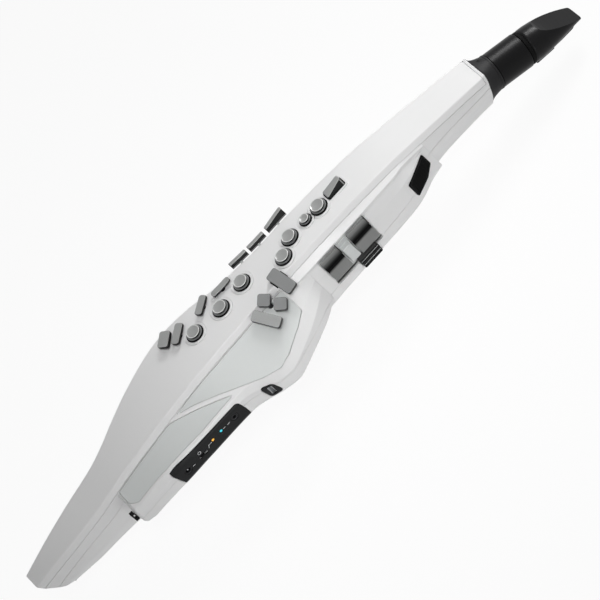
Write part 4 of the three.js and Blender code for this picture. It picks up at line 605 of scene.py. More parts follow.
wall_holes = [
    wall_hole(strip["jack"], headphone), wall_hole(strip["jack"], power), wall_hole(strip["lamp"], amber_lamp),
    wall_hole(strip["lamp"], cyan_lamp), wall_slot(strip["slot_length"], strip["slot_height"], slider_spot),
    wall_slot(flat_width, flat_height, flat_socket),
]
dress("headphone_jack", black_plastic)
dark_nickel = surface("dark_nickel", paint(70, 71, 73), 0.35, metal=0.8, cloud=0.05)
for name, (x, z), bore in (("headphone_barrel", headphone, 1.8), ("power_barrel", power, 2.1)):
    out = wing_outer(x)
    ring = [(bore, out - 4.6), (2.55, out - 4.6), (2.55, out - 0.1), (2.4, out + 0.12), (bore + 0.25, out + 0.12),
            (bore, out - 0.1), (bore, out - 4.6)]
    piece(name, turned(ring, left_wall_frame(x, 0, z)), dark_nickel)
x, z = power
out = wing_outer(x)
pin = [(0, out - 4.8), (0.6, out - 4.8), (0.6, out - 1.2), (0.35, out - 0.9), (0, out - 0.85)]
piece("power_pin", turned(pin, left_wall_frame(x, 0, z), 24), steel)
x, z = flat_socket
out, flat_place = wing_outer(x), left_wall_frame(x, 0, z)
tongue = prism(slanted(1.1, flat_height - 2.4, 0, 0.3), out - 5, out - 0.9, flat_place)
piece("flat_socket_tongue", tongue, surface("grey_tongue", paint(120, 124, 128), 0.4), soft=0.15)
shroud = combine(
    prism(slanted(flat_width - 0.1, flat_height - 0.1, 0, 0.6), out - 5.4, out - 0.5, flat_place),
    [prism(slanted(flat_width - 1.1, flat_height - 1.1, 0, 0.4), out - 5.1, body_depth, flat_place)])
piece("flat_socket_shroud", shroud, steel, soft=0.1)

# ---- Power slider ----
# A moulded black nylon knob slides in a slot of the control strip and switches the power.
# Ribs on top give grip, and a wider foot behind the wall keeps it in.

slot_gap = 0.5
slider = dict(length=3.6, height=2.4, proud=1.2, base=1.4, travel=2, base_height=4.8)
x, z = slider_spot
out = wing_outer(x)
knob_place = left_wall_frame(x - slider["travel"] / 2, 0, z)
foot_low = out - wall - slot_gap - slider["base"]
knob = prism(slanted(slider["length"], slider["height"], 0, 0.4), foot_low, out + slider["proud"], knob_place)
foot_plate = prism(slanted(2 * slider["length"], slider["base_height"], 0, 0.3), foot_low, foot_low + slider["base"],
                   knob_place)
ribs = [block((r - 0.16, -2, out + slider["proud"] - 0.25), (r + 0.16, 2, out + 3), knob_place)
        for r in (-1, -0.33, 0.33, 1)]
piece("slider_knob", combine(combine(knob, [foot_plate], "UNION"), ribs), black_plastic, body="power_slider",
      stands_for="power_slider", soft=0.12)

# ---- Key board and rubber domes ----
# A second glass-epoxy board under the deck carries the key switches.
# A moulded silicone sheet lies on it, with one dome for the stem of each front key.

dress("key_board", circuit)
silicone = surface("milky_silicone", paint(201, 201, 196), 0.55, cloud=0.04, grain=0.1, grain_size=900)
silicone.node_tree.nodes["Principled BSDF"].inputs["Subsurface Weight"].default_value = 0.3
silicone.node_tree.nodes["Principled BSDF"].inputs["Subsurface Scale"].default_value = 0.002
dress("dome_sheet", silicone)

# ---- Silver table panels ----
# Two thin ABS plates sprayed silver are let into the top of the wing, with a fine gap all round.
# They follow the dished table under the left hand and meet at a rounded ridge.

panel = dict(thickness=0.8, recess=1.1, gap=0.3, proud=0.05, groove_round=2.5, clear=0.7, sweep=8)


def panel_point(along, across, sweep):
    return (x_at(along), -across * half_width, sweep * panel["sweep"])


def groove_edge(along):
    return (x_at(along), -groove_out(x_at(along)) - panel["clear"], panel["groove_round"])


upper_outline = [groove_edge(0.281), *[panel_point(*p) for p in [
    (0.303, 0.928, 1), (0.353, 1.394, 1), (0.391, 1.729, 1), (0.416, 1.87, 1.2), (0.435, 1.79, 1),
    (0.466, 1.489, 1), (0.4855, 1.24, 0.25),
]],
                 *[groove_edge(along) for along in (0.4865, 0.44, 0.36)]]
lower_outline = [*[panel_point(*p) for p in [
    (0.351, 1.5, 0.15), (0.29, 1.51, 1), (0.225, 1.44, 1), (0.172, 1.25, 0.75), (0.16, 1.02, 0.6),
]],
                 *[groove_edge(along) for along in (0.161, 0.21, 0.268)]]
wing_skins = {}


def wing_skin(depth, steps=6):
    """The wing's form at a depth under its surface, made once for each depth."""
    if (depth, steps) not in wing_skins:
        wing_skins[depth, steps] = wing_loft(depth, steps)
    return copy_of(wing_skins[depth, steps])


def panel_form(outline, low, high, grow):
    corners = inset(outline, -grow) if grow else outline
    column = prism(corners, body_depth * 0.61, body_depth + overrun, steps=14)
    return combine(combine(column, [wing_skin(low)], "INTERSECT"), [wing_skin(high)])


silver_paint = surface("silver_spray", paint(208, 211, 210), 0.42, metal=0.12, coat=0.1, coat_rough=0.25, cloud=0.02,
                       cloud_size=25, grain=0.1, grain_size=4200, rough_spread=0.2)
panel_top = panel["recess"] - panel["thickness"] - panel["proud"]
casing_cuts, table_cuts = [], []
panel_plates = {}
for name, outline in (("silver_panel_upper", upper_outline), ("silver_panel_lower", lower_outline)):
    panel_plates[name] = panel_form(outline, panel_top, panel["recess"] - panel["gap"] / 2, -0.22)
    casing_cuts.append(panel_form(outline, -wall / 2, panel["recess"], panel["gap"]))

# ---- Control strip and socket plate ----
# A gloss black strip is let into the outer wall of the box, round two sockets, two lamps and the slider.
# The flat socket has its own small black plate. Their marks are plain printed lines and a power sign.


def wall_point(along, up, sweep):
    return (x_at(along), up * body_depth, sweep * strip["sweep"])


strip_outline = [wall_point(*p) for p in [
    (0.2225, 0.79, 0.9), (0.3467, 0.79, 1.3), (0.3488, 0.663, 1.6), (0.3488, 0.558, 1), (0.2308, 0.558, 1.2),
]]
plate_outline = [wall_point(*p) for p in [
    (0.3765, 0.758, 0.9), (0.3934, 0.733, 1.3), (0.3986, 0.599, 1.1), (0.3815, 0.591, 1.3),
]]
on_wall = left_wall_frame(0, 0, 0)


def wall_plate(outline, low, high, grow):
    column = prism(inset(outline, -grow), half_width * 1.56, body_depth, on_wall, 10)
    return combine(combine(column, [wing_skin(low)], "INTERSECT"), [wing_skin(high)])


strip_black = surface("strip_gloss", paint(30, 31, 32), 0.3, cloud=0.06, grain=0.05, shine=0.12)
for name, outline in (("control_strip", strip_outline), ("socket_plate", plate_outline)):
    plate = combine(wall_plate(outline, -strip["proud"], strip["recess"] - strip["gap"], 0), wall_holes)
    piece(f"{name}_plate", plate, strip_black, stands_for=name)
    casing_cuts.append(wall_plate(outline, -wall / 2, strip["recess"], strip["gap"]))
casing_cuts.extend(wall_holes)
wall_cuts = list(casing_cuts[-len(wall_holes) - 2:])


def lamp_finish(name, colour, strength):
    made = surface(name, colour, 0.25, cloud=0.05)
    shader = made.node_tree.nodes["Principled BSDF"]
    shader.inputs["Emission Color"].default_value = colour
    shader.inputs["Emission Strength"].default_value = strength
    return made


for name, (x, z), finish in (
    ("amber_light_pipe", amber_lamp, lamp_finish("amber_glow", paint(240, 178, 66), 0.5)),
    ("cyan_light_pipe", cyan_lamp, lamp_finish("cyan_glow", paint(66, 196, 212), 0.5)),
):
    out = wing_outer(x)
    dome = [(0, out - 3), (1.18, out - 3), (1.18, out - 0.05), (0.95, out + 0.28), (0.5, out + 0.44), (0, out + 0.48)]
    piece(name, turned(dome, left_wall_frame(x, 0, z), 32), finish)

print_white = surface("printed_white", paint(214, 216, 218), 0.55, grain=0.03)
mark_forms = []


def wall_mark(corners, x, z):
    """A printed mark a few hundredths of a millimetre thick, lying on the strip."""
    column = prism(corners, half_width * 1.56, body_depth, left_wall_frame(x, 0, z), 4)
    mark_forms.append(combine(combine(column, [wing_skin(-0.16)], "INTERSECT"), [wing_skin(-0.09)]))


def bar_mark(x, z, length, thick=0.35, turn=0.0):
    c, s = math.cos(turn), math.sin(turn)
    box = ((-length / 2, -thick / 2), (length / 2, -thick / 2), (length / 2, thick / 2), (-length / 2, thick / 2))
    wall_mark([(a * c - b * s, a * s + b * c, 0) for a, b in box], x, z)


sign = (slider_spot[0] - 1.4, slider_spot[1] + 4.6)
for i in range(10):
    low, high = math.radians(125 + 29 * i), math.radians(125 + 29 * (i + 1))
    arc = ((1.05, low), (1.45, low), (1.45, high), (1.05, high))
    wall_mark([(r * math.cos(a), r * math.sin(a), 0) for r, a in arc], *sign)
bar_mark(sign[0], sign[1] + 1.2, 1.5, turn=math.pi / 2)
bar_mark(amber_lamp[0] - 3.4, amber_lamp[1] - 0.2, 3.2)
bar_mark(amber_lamp[0] - 5.6, amber_lamp[1] - 1.35, 2.6, turn=math.radians(62))
bar_mark(cyan_lamp[0] + 3.2, cyan_lamp[1], 2.2)
bar_mark(headphone[0] - 6.4, headphone[1] + 0.4, 2.6)
bar_mark(power[0] + 5.6, power[1], 2.2)
for i, form in enumerate(mark_forms):
    piece(f"strip_mark_{i}", form, print_white, weighted=False)

# ---- Speaker and its grille ----
# A small paper-cone speaker fires out of the slanted end of the left-hand housing.
# A slotted black steel grille snaps in over it, with a dark cloth behind the slots.

grille = dict(x=x_at(0.7117), out=24.6, z=-30.3, turn=18, half=12, thickness=1.6, slots=9, slot=0.7, rim=1.3)
grille_place = left_wall_frame(grille["x"], -grille["out"], body_depth + grille["z"], math.radians(grille["turn"]))
grille_outline = [tuple(share * grille["half"] for share in corner) for corner in [
    (-1, -0.867, 0.1), (-1, 0.383, 0.1), (-0.25, 0.583, 0.5), (0.967, 0.8, 0.1), (1, -0.283, 0.17),
    (0.25, -0.75, 0.5),
]]
grille_hole = prism(inset(grille_outline, -seam), -grille["half"], grille["half"], grille_place, 10)
plate = prism(grille_outline, -grille["thickness"], 0, grille_place, 10)
slot_field = prism(inset(grille_outline, grille["rim"]), -grille["thickness"] - overrun, overrun, grille_place, 8)
slot_reach = grille["half"] - grille["rim"]
for i in range(grille["slots"]):
    share = (i + 0.5) / grille["slots"]
    near, far = (grille["half"] * (-0.867 + share * 1.25), grille["half"] * (-0.283 + share * 1.083))
    half = grille["slot"] / 2
    cut = prism([(-slot_reach, near - half, 0), (-slot_reach, near + half, 0), (slot_reach, far + half, 0),
                 (slot_reach, far - half, 0)], -grille["thickness"] - overrun, overrun, grille_place)
    plate = combine(plate, [combine(cut, [slot_field], "INTERSECT")])
grille_black = surface("powder_coated_steel", paint(15, 15, 16), 0.55, grain=0.25, grain_size=3000, shine=0.06)
piece("grille_plate", plate, grille_black, stands_for="speaker_grille", soft=0.12)
cloth_black = surface("acoustic_cloth", paint(12, 12, 13), 0.95, grain=0.4, grain_size=5000)
piece("grille_cloth", prism(inset(grille_outline, 1), -grille["thickness"] - 0.3, -grille["thickness"] - 0.05,
                            grille_place), cloth_black)
front_face = -grille["thickness"] - 0.4
cone_profile = [(0, 8), (3.6, 8), (4, 7.6), (4, 3.4), (7.2, 1), (7.6, 0.9), (7.6, 0), (7.1, 0), (6.6, 0.35),
                (6.1, 0.1), (5.4, 0.6), (2.4, 2.2), (1.6, 1.7), (0, 1.4)]
cone = turned([(r, front_face - deep) for r, deep in cone_profile], grille_place)
piece("speaker_unit", cone, black_plastic, stands_for="speaker")
casing_cuts.append(grille_hole)

# ---- Round front keys ----
# Six finger keys and the small bis key: a dished cap on a dark skirt, moulded in ABS and sprayed satin grey.
# Each stands in a well inside a raised white ring, on a stem that presses a rubber dome under the deck.


def deck_frame(x, y, turn=0.0):
    return frame_at(x, y, deck_height(x), turn_z=turn)


def rod(radius, low, high, matrix=Matrix(), sides=32):
    return turned([(0, low), (radius, low), (radius, high), (0, high)], matrix, sides)


stem_radius, stem_hole, stem_foot = 1.8, 1.8 + slot_gap, -8.1
well = dict(depth=2.1, margin=0.8, floor=1.4, lift=0.2, rise=0.5)
cap_radius, skirt_radius, skirt_top, dish, edge = 5.45, 6.5, 1.75, 0.85, 0.36

key_satin = surface("key_satin_grey", paint(156, 157, 156), 0.34, metal=0.3, cloud=0.03, cloud_size=60, grain=0.1,
                    grain_size=3800, rough_spread=0.2)
# A lighter satin for the cap rims: a painted highlight.
rim_highlight_paint = surface("key_rim_painted_highlight", paint(212, 213, 212), 0.3, metal=0.3, cloud=0.03, grain=0.06, grain_size=3800)
skirt_grey = surface("key_skirt_grey", paint(128, 129, 129), 0.36, metal=0.3, cloud=0.05, grain=0.12, grain_size=3200,
                     shine=0.4)
# A dark grey that stands in for painted shade on the flanks and stems of the keys.
painted_shade_grey = surface("key_painted_shade_grey", paint(30, 30, 30), 0.36, metal=0.05, cloud=0.05, grain=0.1, grain_size=3600,
                     shine=0.12)
# Black sheets laid in wells, slots and gaps where only shade falls: painted shadow.
shadow_black = surface("painted_well_shadow", paint(12, 12, 12), 0.9, grain=0.2, shine=0.05)
deck_cuts, deck_pads = [], []


def key_stem(foot, top, place, x=0.0, y=0.0, radius=stem_radius):
    return turned([(0, foot), (radius - 0.3, foot), (radius, foot + 0.3), (radius, top), (0, top)],
                  place @ Matrix.Translation((x, y, 0)), 28)


def shade_by_facing(name, form, light, dark, body, level, stands_for, matrix, soft=0.0, angle=38):
    """One moulding in two finishes, as painted shade: the faces that look up from the key's plane are light, the rest
    take the dark finish for their shade.
    """
    made = piece(name, form, light, body=body, stands_for=stands_for, soft=soft, angle=angle)
    made.data.materials.append(dark)
    up = (to_frame @ matrix).to_3x3() @ Vector((0, 0, 1))
    up.normalize()
    for face in made.data.polygons:
        face.material_index = 0 if face.normal.dot(up) > level else 1
    return made


for name, along, across, share in [
    ("key_b", 0.5953, 0.031, 1), ("key_bis", 0.572, 0.044, 0.7), ("key_a", 0.5424, 0.022, 1),
    ("key_g", 0.5192, -0.244, 1), ("key_f", 0.4601, 0.166, 1), ("key_e", 0.4186, 0.109, 1),
    ("key_d", 0.3733, 0.188, 1),
]:
    x, y = x_at(along), across * half_width
    place = deck_frame(x, y)
    cap, skirt = cap_radius * share, skirt_radius * share
    foot = skirt_top + 0.05
    top = [(0, foot), (cap - 0.35, foot), (cap - 0.3, foot + 0.2), (cap, key_rise - 0.75), (cap, key_rise - 0.42)]
    top += [(cap - edge + edge * math.cos(a), key_rise - edge + edge * math.sin(a))
            for a in (0.25, 0.6, 0.95, 1.3, 1.57)]
    bowl, bowl_top = cap - 2 * edge, key_rise - 0.14
    top += [(bowl + 0.14, key_rise - 0.04), (bowl, bowl_top)]
    top += [(bowl * (1 - t), bowl_top - dish * (1 - (1 - t) ** 2)) for t in (0.05, 0.12, 0.22, 0.35, 0.5, 0.7, 0.88)]
    top.append((0, bowl_top - dish))
    # Cap and skirt faces that turn away from the top take the dark grey as painted shade, and so does the stem.
    capped = shade_by_facing(f"{name}_cap", turned(top, place, 72), key_satin, painted_shade_grey, name, 0.4, name, place, angle=60)
    # The outer ring of each cap's top takes the lighter satin as a painted highlight.
    capped.data.materials.append(rim_highlight_paint)
    middle = (to_frame @ place).translation
    for face in capped.data.polygons:
        out = face.center - middle
        if face.material_index == 0 and (out - Vector((0, 0, out.z))).length > (bowl + 0.02) * MM:
            face.material_index = 2
    ring = [(0, -well["lift"]), (skirt - 0.25, -well["lift"]), (skirt, 0.05), (skirt, skirt_top - 0.25)]
    ring += [(skirt - 0.25 + 0.25 * math.cos(a), skirt_top - 0.25 + 0.25 * math.sin(a)) for a in (0.4, 0.8, 1.2, 1.57)]
    ring += [(cap - 0.1, skirt_top - 0.02), (cap - 0.15, skirt_top - 0.25), (0, skirt_top - 0.25)]
    shade_by_facing(f"{name}_skirt", turned(ring, place, 72), skirt_grey, painted_shade_grey, name, 0.5, name, place, angle=42)
    piece(f"{name}_stem", key_stem(stem_foot, 0.02 - well["lift"], place), painted_shade_grey, body=name,
          stands_for=name)
    reach = skirt + well["margin"] + well["floor"] + 0.6 * share
    deck_cuts.append(turned([
        (reach - 0.12, -0.45), (reach + 0.22, -0.45), (reach + 0.22, key_rise), (reach + 0.021, key_rise),
        (reach + 0.02, 0.02), (reach - 0.12, 0.0), (reach - 0.12, -0.45),
    ], place, 96))
    deck_pads.append(turned([
        (0, -well["depth"] - well["floor"]), (reach, -well["depth"] - well["floor"]), (reach, well["rise"] - 0.32),
        (reach - 0.05, well["rise"] - 0.16), (reach - 0.16, well["rise"] - 0.05), (reach - 0.32, well["rise"]),
        (0, well["rise"]),
    ], place, 96))
    mouth = skirt + well["margin"]
    deck_cuts.append(turned([
        (0, -well["depth"]), (mouth, -well["depth"]), (mouth, well["rise"] - 0.3), (mouth + 0.09, well["rise"] - 0.09),
        (mouth + 0.32, well["rise"] + 0.02), (mouth + 0.32, key_rise), (0, key_rise),
    ], place, 96))
    deck_cuts.append(rod(stem_hole, stem_foot, key_rise, place))
    # A black sheet on the well's floor and wall stands in for its shade: painted shadow.
    floor_at = -well["depth"] + 0.02
    shadow_liner = [(stem_hole + 0.1, floor_at), (mouth - 0.03, floor_at), (mouth - 0.03, well["rise"] - 0.45),
             (mouth - 0.16, well["rise"] - 0.5), (mouth - 0.2, floor_at + 0.2), (stem_hole + 0.1, floor_at + 0.2),
             (stem_hole + 0.1, floor_at)]
    piece(f"{name}_liner", turned(shadow_liner, place, 96), shadow_black)

# ---- Front F key ----
# A narrow wedge in the same run of rings: it climbs towards the neck and its near side leans in.
# It is moulded in one piece and sprayed satin grey; its flank is painted darker as shade.

front_f = dict(length=16, width=7.9, tail_rise=3, head_rise=5, lean_in=2.9, corner=1.2)
fx, fy = x_at(0.6252), 0.0766 * half_width
f_place = deck_frame(fx, fy)
f_corners = slanted(front_f["length"], front_f["width"], 0, front_f["corner"])
f_top = [(a, b + front_f["lean_in"] if a > 0 and b < 0 else b, r) for a, b, r in f_corners]


def front_f_ring(corners, drop):
    span = front_f["head_rise"] - front_f["tail_rise"]
    return [(a, b, front_f["tail_rise"] + (a / front_f["length"] + 0.5) * span - drop) for a, b in rounded(corners, 8)]


# The stems take the dark grey as painted shade.
def stem_piece(name, foot, top, place, x=0.0, y=0.0):
    piece(f"{name}_stem", key_stem(foot, top, place, x, y), painted_shade_grey, body=name, stands_for=name)


f_low = rounded(f_corners, 8)
f_form = loft([
    [(a, b, -well["lift"]) for a, b in f_low],
    front_f_ring(f_top, 0.6), front_f_ring(inset(f_top, 0.12), 0.27), front_f_ring(inset(f_top, 0.32), 0.08),
    front_f_ring(inset(f_top, 0.6), 0), front_f_ring(inset(f_top, 1.5), 0.12),
], f_place)
stem_piece("key_front_f", stem_foot, -well["lift"], f_place)
# Faces turned away from the top take the dark grey: painted shade.
shade_by_facing("key_front_f_wedge", f_form, key_satin, painted_shade_grey, "key_front_f", 0.45, "key_front_f", f_place, angle=50)
deck_pads.append(prism(inset(f_corners, -well["margin"] - well["floor"]), -well["depth"] - well["floor"], well["rise"],
                       f_place, 8))
deck_cuts.append(prism(inset(f_corners, -well["margin"]), -well["depth"], front_f["head_rise"], f_place, 8))
deck_cuts.append(rod(stem_hole, stem_foot, front_f["head_rise"], f_place))
# A black sheet in the well stands in for its shade: painted shadow.
f_floor = -well["depth"] + 0.02
f_shadow_liner = combine(prism(inset(f_corners, 0.03 - well["margin"]), f_floor, well["rise"] - 0.4, f_place, 8), [
    prism(inset(f_corners, 0.2 - well["margin"]), f_floor + 0.2, well["rise"], f_place, 8),
    rod(stem_hole + 0.1, stem_foot, front_f["head_rise"], f_place)])
piece("key_front_f_liner", f_shadow_liner, shadow_black)

# ---- Right-hand keys ----
# A bar, a slanted bar and two little-finger plates stand clear of the deck near its right edge.
# They are satin-grey ABS plates with rounded tops, on stems like the round keys.

right_key = dict(length=17.6, width=9, lift=2.3, rise=5, corner=2.3, drop=0.2)


def slab(corners, low, high, round_over, place, crown=0.12):
    """A key plate: straight sides, an even round-over and a faintly dished top."""
    rings = [(inset(corners, 0.25), low), (corners, low + 0.25)]
    rings += [(inset(corners, round_over * (1 - math.cos(a)) + 0.001), high - round_over * (1 - math.sin(a)))
              for a in (0.0, 0.4, 0.8, 1.15, 1.5)]
    narrow = min(Vector(corners[0][:2]).length, Vector(corners[1][:2]).length) * 0.35
    rings += [(inset(corners, round_over + narrow * 0.4), high - crown * 0.4),
              (inset(corners, round_over + narrow), high - crown)]
    return loft([[(a, b, h) for a, b in rounded(ring, 7)] for ring, h in rings], place)


for name, along, across, length_share, width_share, turn, rise_share in [
    ("key_side_bar", 0.4378, 0.485, 1, 0.6, 0, 0.72),
    ("key_high_f_sharp", 0.4042, 0.54, 0.91, 0.69, 35, 0.9),
    ("key_e_flat", 0.3577, 0.49, 0.966, 0.756, 38, 0.9), ("key_low_c", 0.3411, 0.66, 0.761, 1, 42, 1.05),
]:
    place = deck_frame(x_at(along), across * half_width, math.radians(turn))
    corners = slanted(right_key["length"] * length_share, right_key["width"] * width_share, 0, right_key["corner"])
    low, high = right_key["lift"] - right_key["drop"], right_key["rise"] * rise_share
    stem_piece(name, stem_foot, low + 0.02, place)
    # Faces turned away from the top take the dark grey: painted shade.
    shade_by_facing(f"{name}_plate", slab(corners, low, high, 0.45, place), key_satin, painted_shade_grey, name, 0.7, name, place,
             angle=50)
    deck_cuts.append(rod(stem_hole, stem_foot, right_key["rise"], place))

# ---- Left little-finger keys ----
# Four flat plates lie in one plane that falls outward over the table, with narrow gaps between them.
# Each is a satin-grey moulding with a rounded edge, sunk part way into a slot of the housing.

table = dict(across=-0.731, rise=2, slope=math.radians(21.3), length=22.4, width=10, thickness=4, corner=2.1, foot=-14,
             slot=0.8, shadow_liner=0.12, cover=0.45)
key_travel = 1.5
table_satin = surface("table_key_satin", paint(128, 129, 129), 0.36, metal=0.3, cloud=0.03, cloud_size=60, grain=0.14,
                      grain_size=3000, rough_spread=0.2)
under_skin = combine(core_loft(table["cover"], 2),
                     [wing_loft(table["cover"], 2), hand_loft(table["cover"], 2)], "UNION")
for name, along, out_share, length_share, width_share, turn, stem_at in (
    ("key_g_sharp", 0.4953, 0.027, 0.964, 1, 98, (0.6, 0)),
    ("key_c_sharp", 0.4626, 0.022, 0.429, 0.94, -48, (0.34, -0.26)),
    ("key_low_b", 0.4734, -0.473, 0.438, 0.96, -44, (0, 0)),
    ("key_low_b_flat", 0.4476, -0.473, 1, 0.86, -63, (0.2, 0)),
):
    plane = frame_at(x_at(along), table["across"] * half_width, body_depth + table["rise"], tilt_x=table["slope"])
    spot = Matrix.Translation((0, out_share * table["length"], 0)) @ Matrix.Rotation(math.radians(turn), 4, "Z")
    place = plane @ spot
    corners = slanted(table["length"] * length_share, table["width"] * width_share, 0, table["corner"])
    lean = -table["width"] if turn > 0 else table["width"]
    sx, sy = lean * stem_at[0], table["width"] * stem_at[1]
    stem_piece(name, table["foot"], 0.02 - table["thickness"], place, sx, sy)
    form = slab(corners, -table["thickness"], 0, 0.45, place)
    finish = key_satin if name == "key_low_b_flat" else table_satin
    # Faces turned away from the top take the dark grey: painted shade.
    shade_by_facing(f"{name}_plate", form, finish, painted_shade_grey, name, 0.75, name, place, angle=50)
    deep = -table["thickness"] - key_travel - seam
    table_cuts.append(prism(inset(corners, -table["slot"]), deep, table["thickness"], place, 8))
    table_cuts.append(rod(stem_hole, 2 * table["foot"], 0, place @ Matrix.Translation((sx, sy, 0))))
    if length_share < 0.9:
        continue
    # The long keys' slots get a black sheet that stands in for their shade: painted shadow.
    shadow_lining = combine(prism(inset(corners, 0.03 - table["slot"]), deep + 0.02, 0, place, 8), [
        prism(inset(corners, table["shadow_liner"] - table["slot"]), deep + 0.1, table["thickness"], place, 8),
        rod(stem_hole + 0.1, 2 * table["foot"], 0, place @ Matrix.Translation((sx, sy, 0)))])
    piece(f"{name}_liner", combine(shadow_lining, [copy_of(under_skin)], "INTERSECT"), shadow_black)

# ---- Side keys ----
# Three paddles hang over the right bevel and are pressed in across it by the side of the right hand.
# Each is one moulding sprayed satin grey, with its flanks painted dark as shade.

side_key = dict(size=11, growth=2.2, chamfer=0.8, stem_on_bevel=2.9, foot=-9, stem_top=2.2)
paddle_shares = [
    (0.115, 0.105), (0.225, 0.308), (0.4, 0.327), (0.545, 0.264), (1, -0.418), (0.927, -0.636),
    (0.65, -0.618), (0.3, -0.065),
]
bevel_angle = math.atan2(core["bevel_drop"], core["bevel_out"])
bevel_normal = Vector((0, math.sin(bevel_angle), math.cos(bevel_angle)))
for name, start_share, end_share, grow_start, grow_end in (
    ("key_side_1", 0.4653, 0.4927, 0, 0), ("key_side_2", 0.4965, 0.5242, 0, 0), ("key_side_3", 0.5293, 0.5618, 0.14, 1),
):
    start, end = x_at(start_share), x_at(end_share)

    def paddle_ring(x, share, pull):
        corners = []
        for out, up in paddle_shares:
            y = left_edge(x) + out * side_key["size"] - math.copysign(pull, out - 0.5)
            z = deck_height(x) + up * side_key["size"] - math.copysign(pull, up + 0.136)
            lift = share * side_key["growth"] if up > 0.18 else 0
            corners.append((y + lift / 2, z + lift, 0.5))
        return [(x, y, z) for y, z in rounded(corners, 4)]

    rings = [paddle_ring(start, grow_start, 0.6), paddle_ring(start + 0.12, grow_start, 0.32),
             paddle_ring(start + 0.35, grow_start, 0.1), paddle_ring(start + side_key["chamfer"], grow_start, 0)]
    for i in range(1, 10):
        t = i / 10
        x = start + side_key["chamfer"] + t * (end - start - 2 * side_key["chamfer"])
        rings.append(paddle_ring(x, grow_start + t * (grow_end - grow_start), 0))
    rings += [paddle_ring(end - side_key["chamfer"], grow_end, 0), paddle_ring(end - 0.35, grow_end, 0.1),
              paddle_ring(end - 0.12, grow_end, 0.32), paddle_ring(end, grow_end, 0.6)]
    middle = (start + end) / 2
    root = Vector((middle, left_edge(middle) + side_key["stem_on_bevel"] * math.cos(bevel_angle),
                   deck_height(middle) - side_key["stem_on_bevel"] * math.sin(bevel_angle)))
    place = basis(root, Vector((1, 0, 0)), bevel_normal)
    piece(f"{name}_stem", key_stem(side_key["foot"], side_key["stem_top"], place, radius=1.1), silver_paint, body=name,
          stands_for=name)
    # Faces turned away from the top take the dark grey: painted shade.
    shade_by_facing(f"{name}_paddle", loft(rings), key_satin, painted_shade_grey, name, 0.7, name, Matrix(), angle=40)
    deck_cuts.append(rod(stem_hole, side_key["foot"], -side_key["foot"], place))

# ---- Palm keys ----
# Two saddle-shaped paddles in gunmetal spray lie on the left-hand housing, pivoted at their upper edges.
# They sit over a pale cradle whose bridge shows between them; a small black third key lies below.

palm = dict(tail=x_at(0.5406), head=x_at(0.6274), top=-11.5, bottom=-41, depth=15, cradle_out=26.3, cradle_wall=1.8,
            cradle_round=1.5, bridge_tail=x_at(0.5737), bridge_head=x_at(0.5892), bridge_out=30.6, bridge_top=-17,
            bridge_bottom=-34)
palm_profile = [
    (0.94, 0.8), (0.993, 0.816), (1.035, 0.765), (1.045, 0.72), (1.03, 0.66), (1.024, 0.63), (1.068, 0.612),
    (1.082, 0.53), (1.094, 0.43), (1.1, 0.372), (1.075, 0.355), (1.007, 0.368), (0.993, 0.451), (0.963, 0.608),
    (0.937, 0.735),
]
palm_foot = body_depth - hand["foot_drop"]
gunmetal_with_painted_band = surface("gunmetal_spray_painted_band", paint(133, 134, 133), 0.42, metal=0.2, cloud=0.04, cloud_size=50, grain=0.08,
                   grain_size=2600, stretch=(1, 4, 4), shine=0.05)
# A near-black band is painted along each paddle by height, fading in from above and ending sharply below: a painted
# dark reflection.
nodes, links = gunmetal_with_painted_band.node_tree.nodes, gunmetal_with_painted_band.node_tree.links
spot, split, fade = nodes.new("ShaderNodeTexCoord"), nodes.new("ShaderNodeSeparateXYZ"), nodes.new("ShaderNodeMapRange")
links.new(spot.outputs["Object"], split.inputs["Vector"])
links.new(split.outputs["Z"], fade.inputs["Value"])
painted_band_edge = (palm_foot + 0.615 * hand["foot_drop"]) * MM
fade.inputs["From Min"].default_value, fade.inputs["From Max"].default_value = painted_band_edge + 0.002, painted_band_edge + 0.0122
fade.interpolation_type = "SMOOTHSTEP"
under = nodes.new("ShaderNodeMapRange")
under.inputs["From Min"].default_value, under.inputs["From Max"].default_value = painted_band_edge - 0.0004, painted_band_edge - 0.0026
links.new(split.outputs["Z"], under.inputs["Value"])
outside_painted_band = nodes.new("ShaderNodeMath")
outside_painted_band.operation = "MAXIMUM"
links.new(fade.outputs["Result"], outside_painted_band.inputs[0])
links.new(under.outputs["Result"], outside_painted_band.inputs[1])
painted_band_mix = nodes.new("ShaderNodeMix")
painted_band_mix.data_type = "RGBA"
painted_band_mix.inputs[6].default_value = paint(4, 4, 4)
links.new(outside_painted_band.outputs["Value"], painted_band_mix.inputs[0])
links.new(nodes["Mix"].outputs[2], painted_band_mix.inputs[7])
links.new(painted_band_mix.outputs[2], nodes["Principled BSDF"].inputs["Base Color"])


def palm_ring(x, pull, steps=5):
    corners = []
    for out, up in palm_profile:
        shift = math.copysign(pull, up - 0.57)
        corners.append((-out * hand["foot_out"], palm_foot + up * hand["foot_drop"] - shift, 1.4))
    return [(x, y, z) for y, z in rounded(corners, steps)]


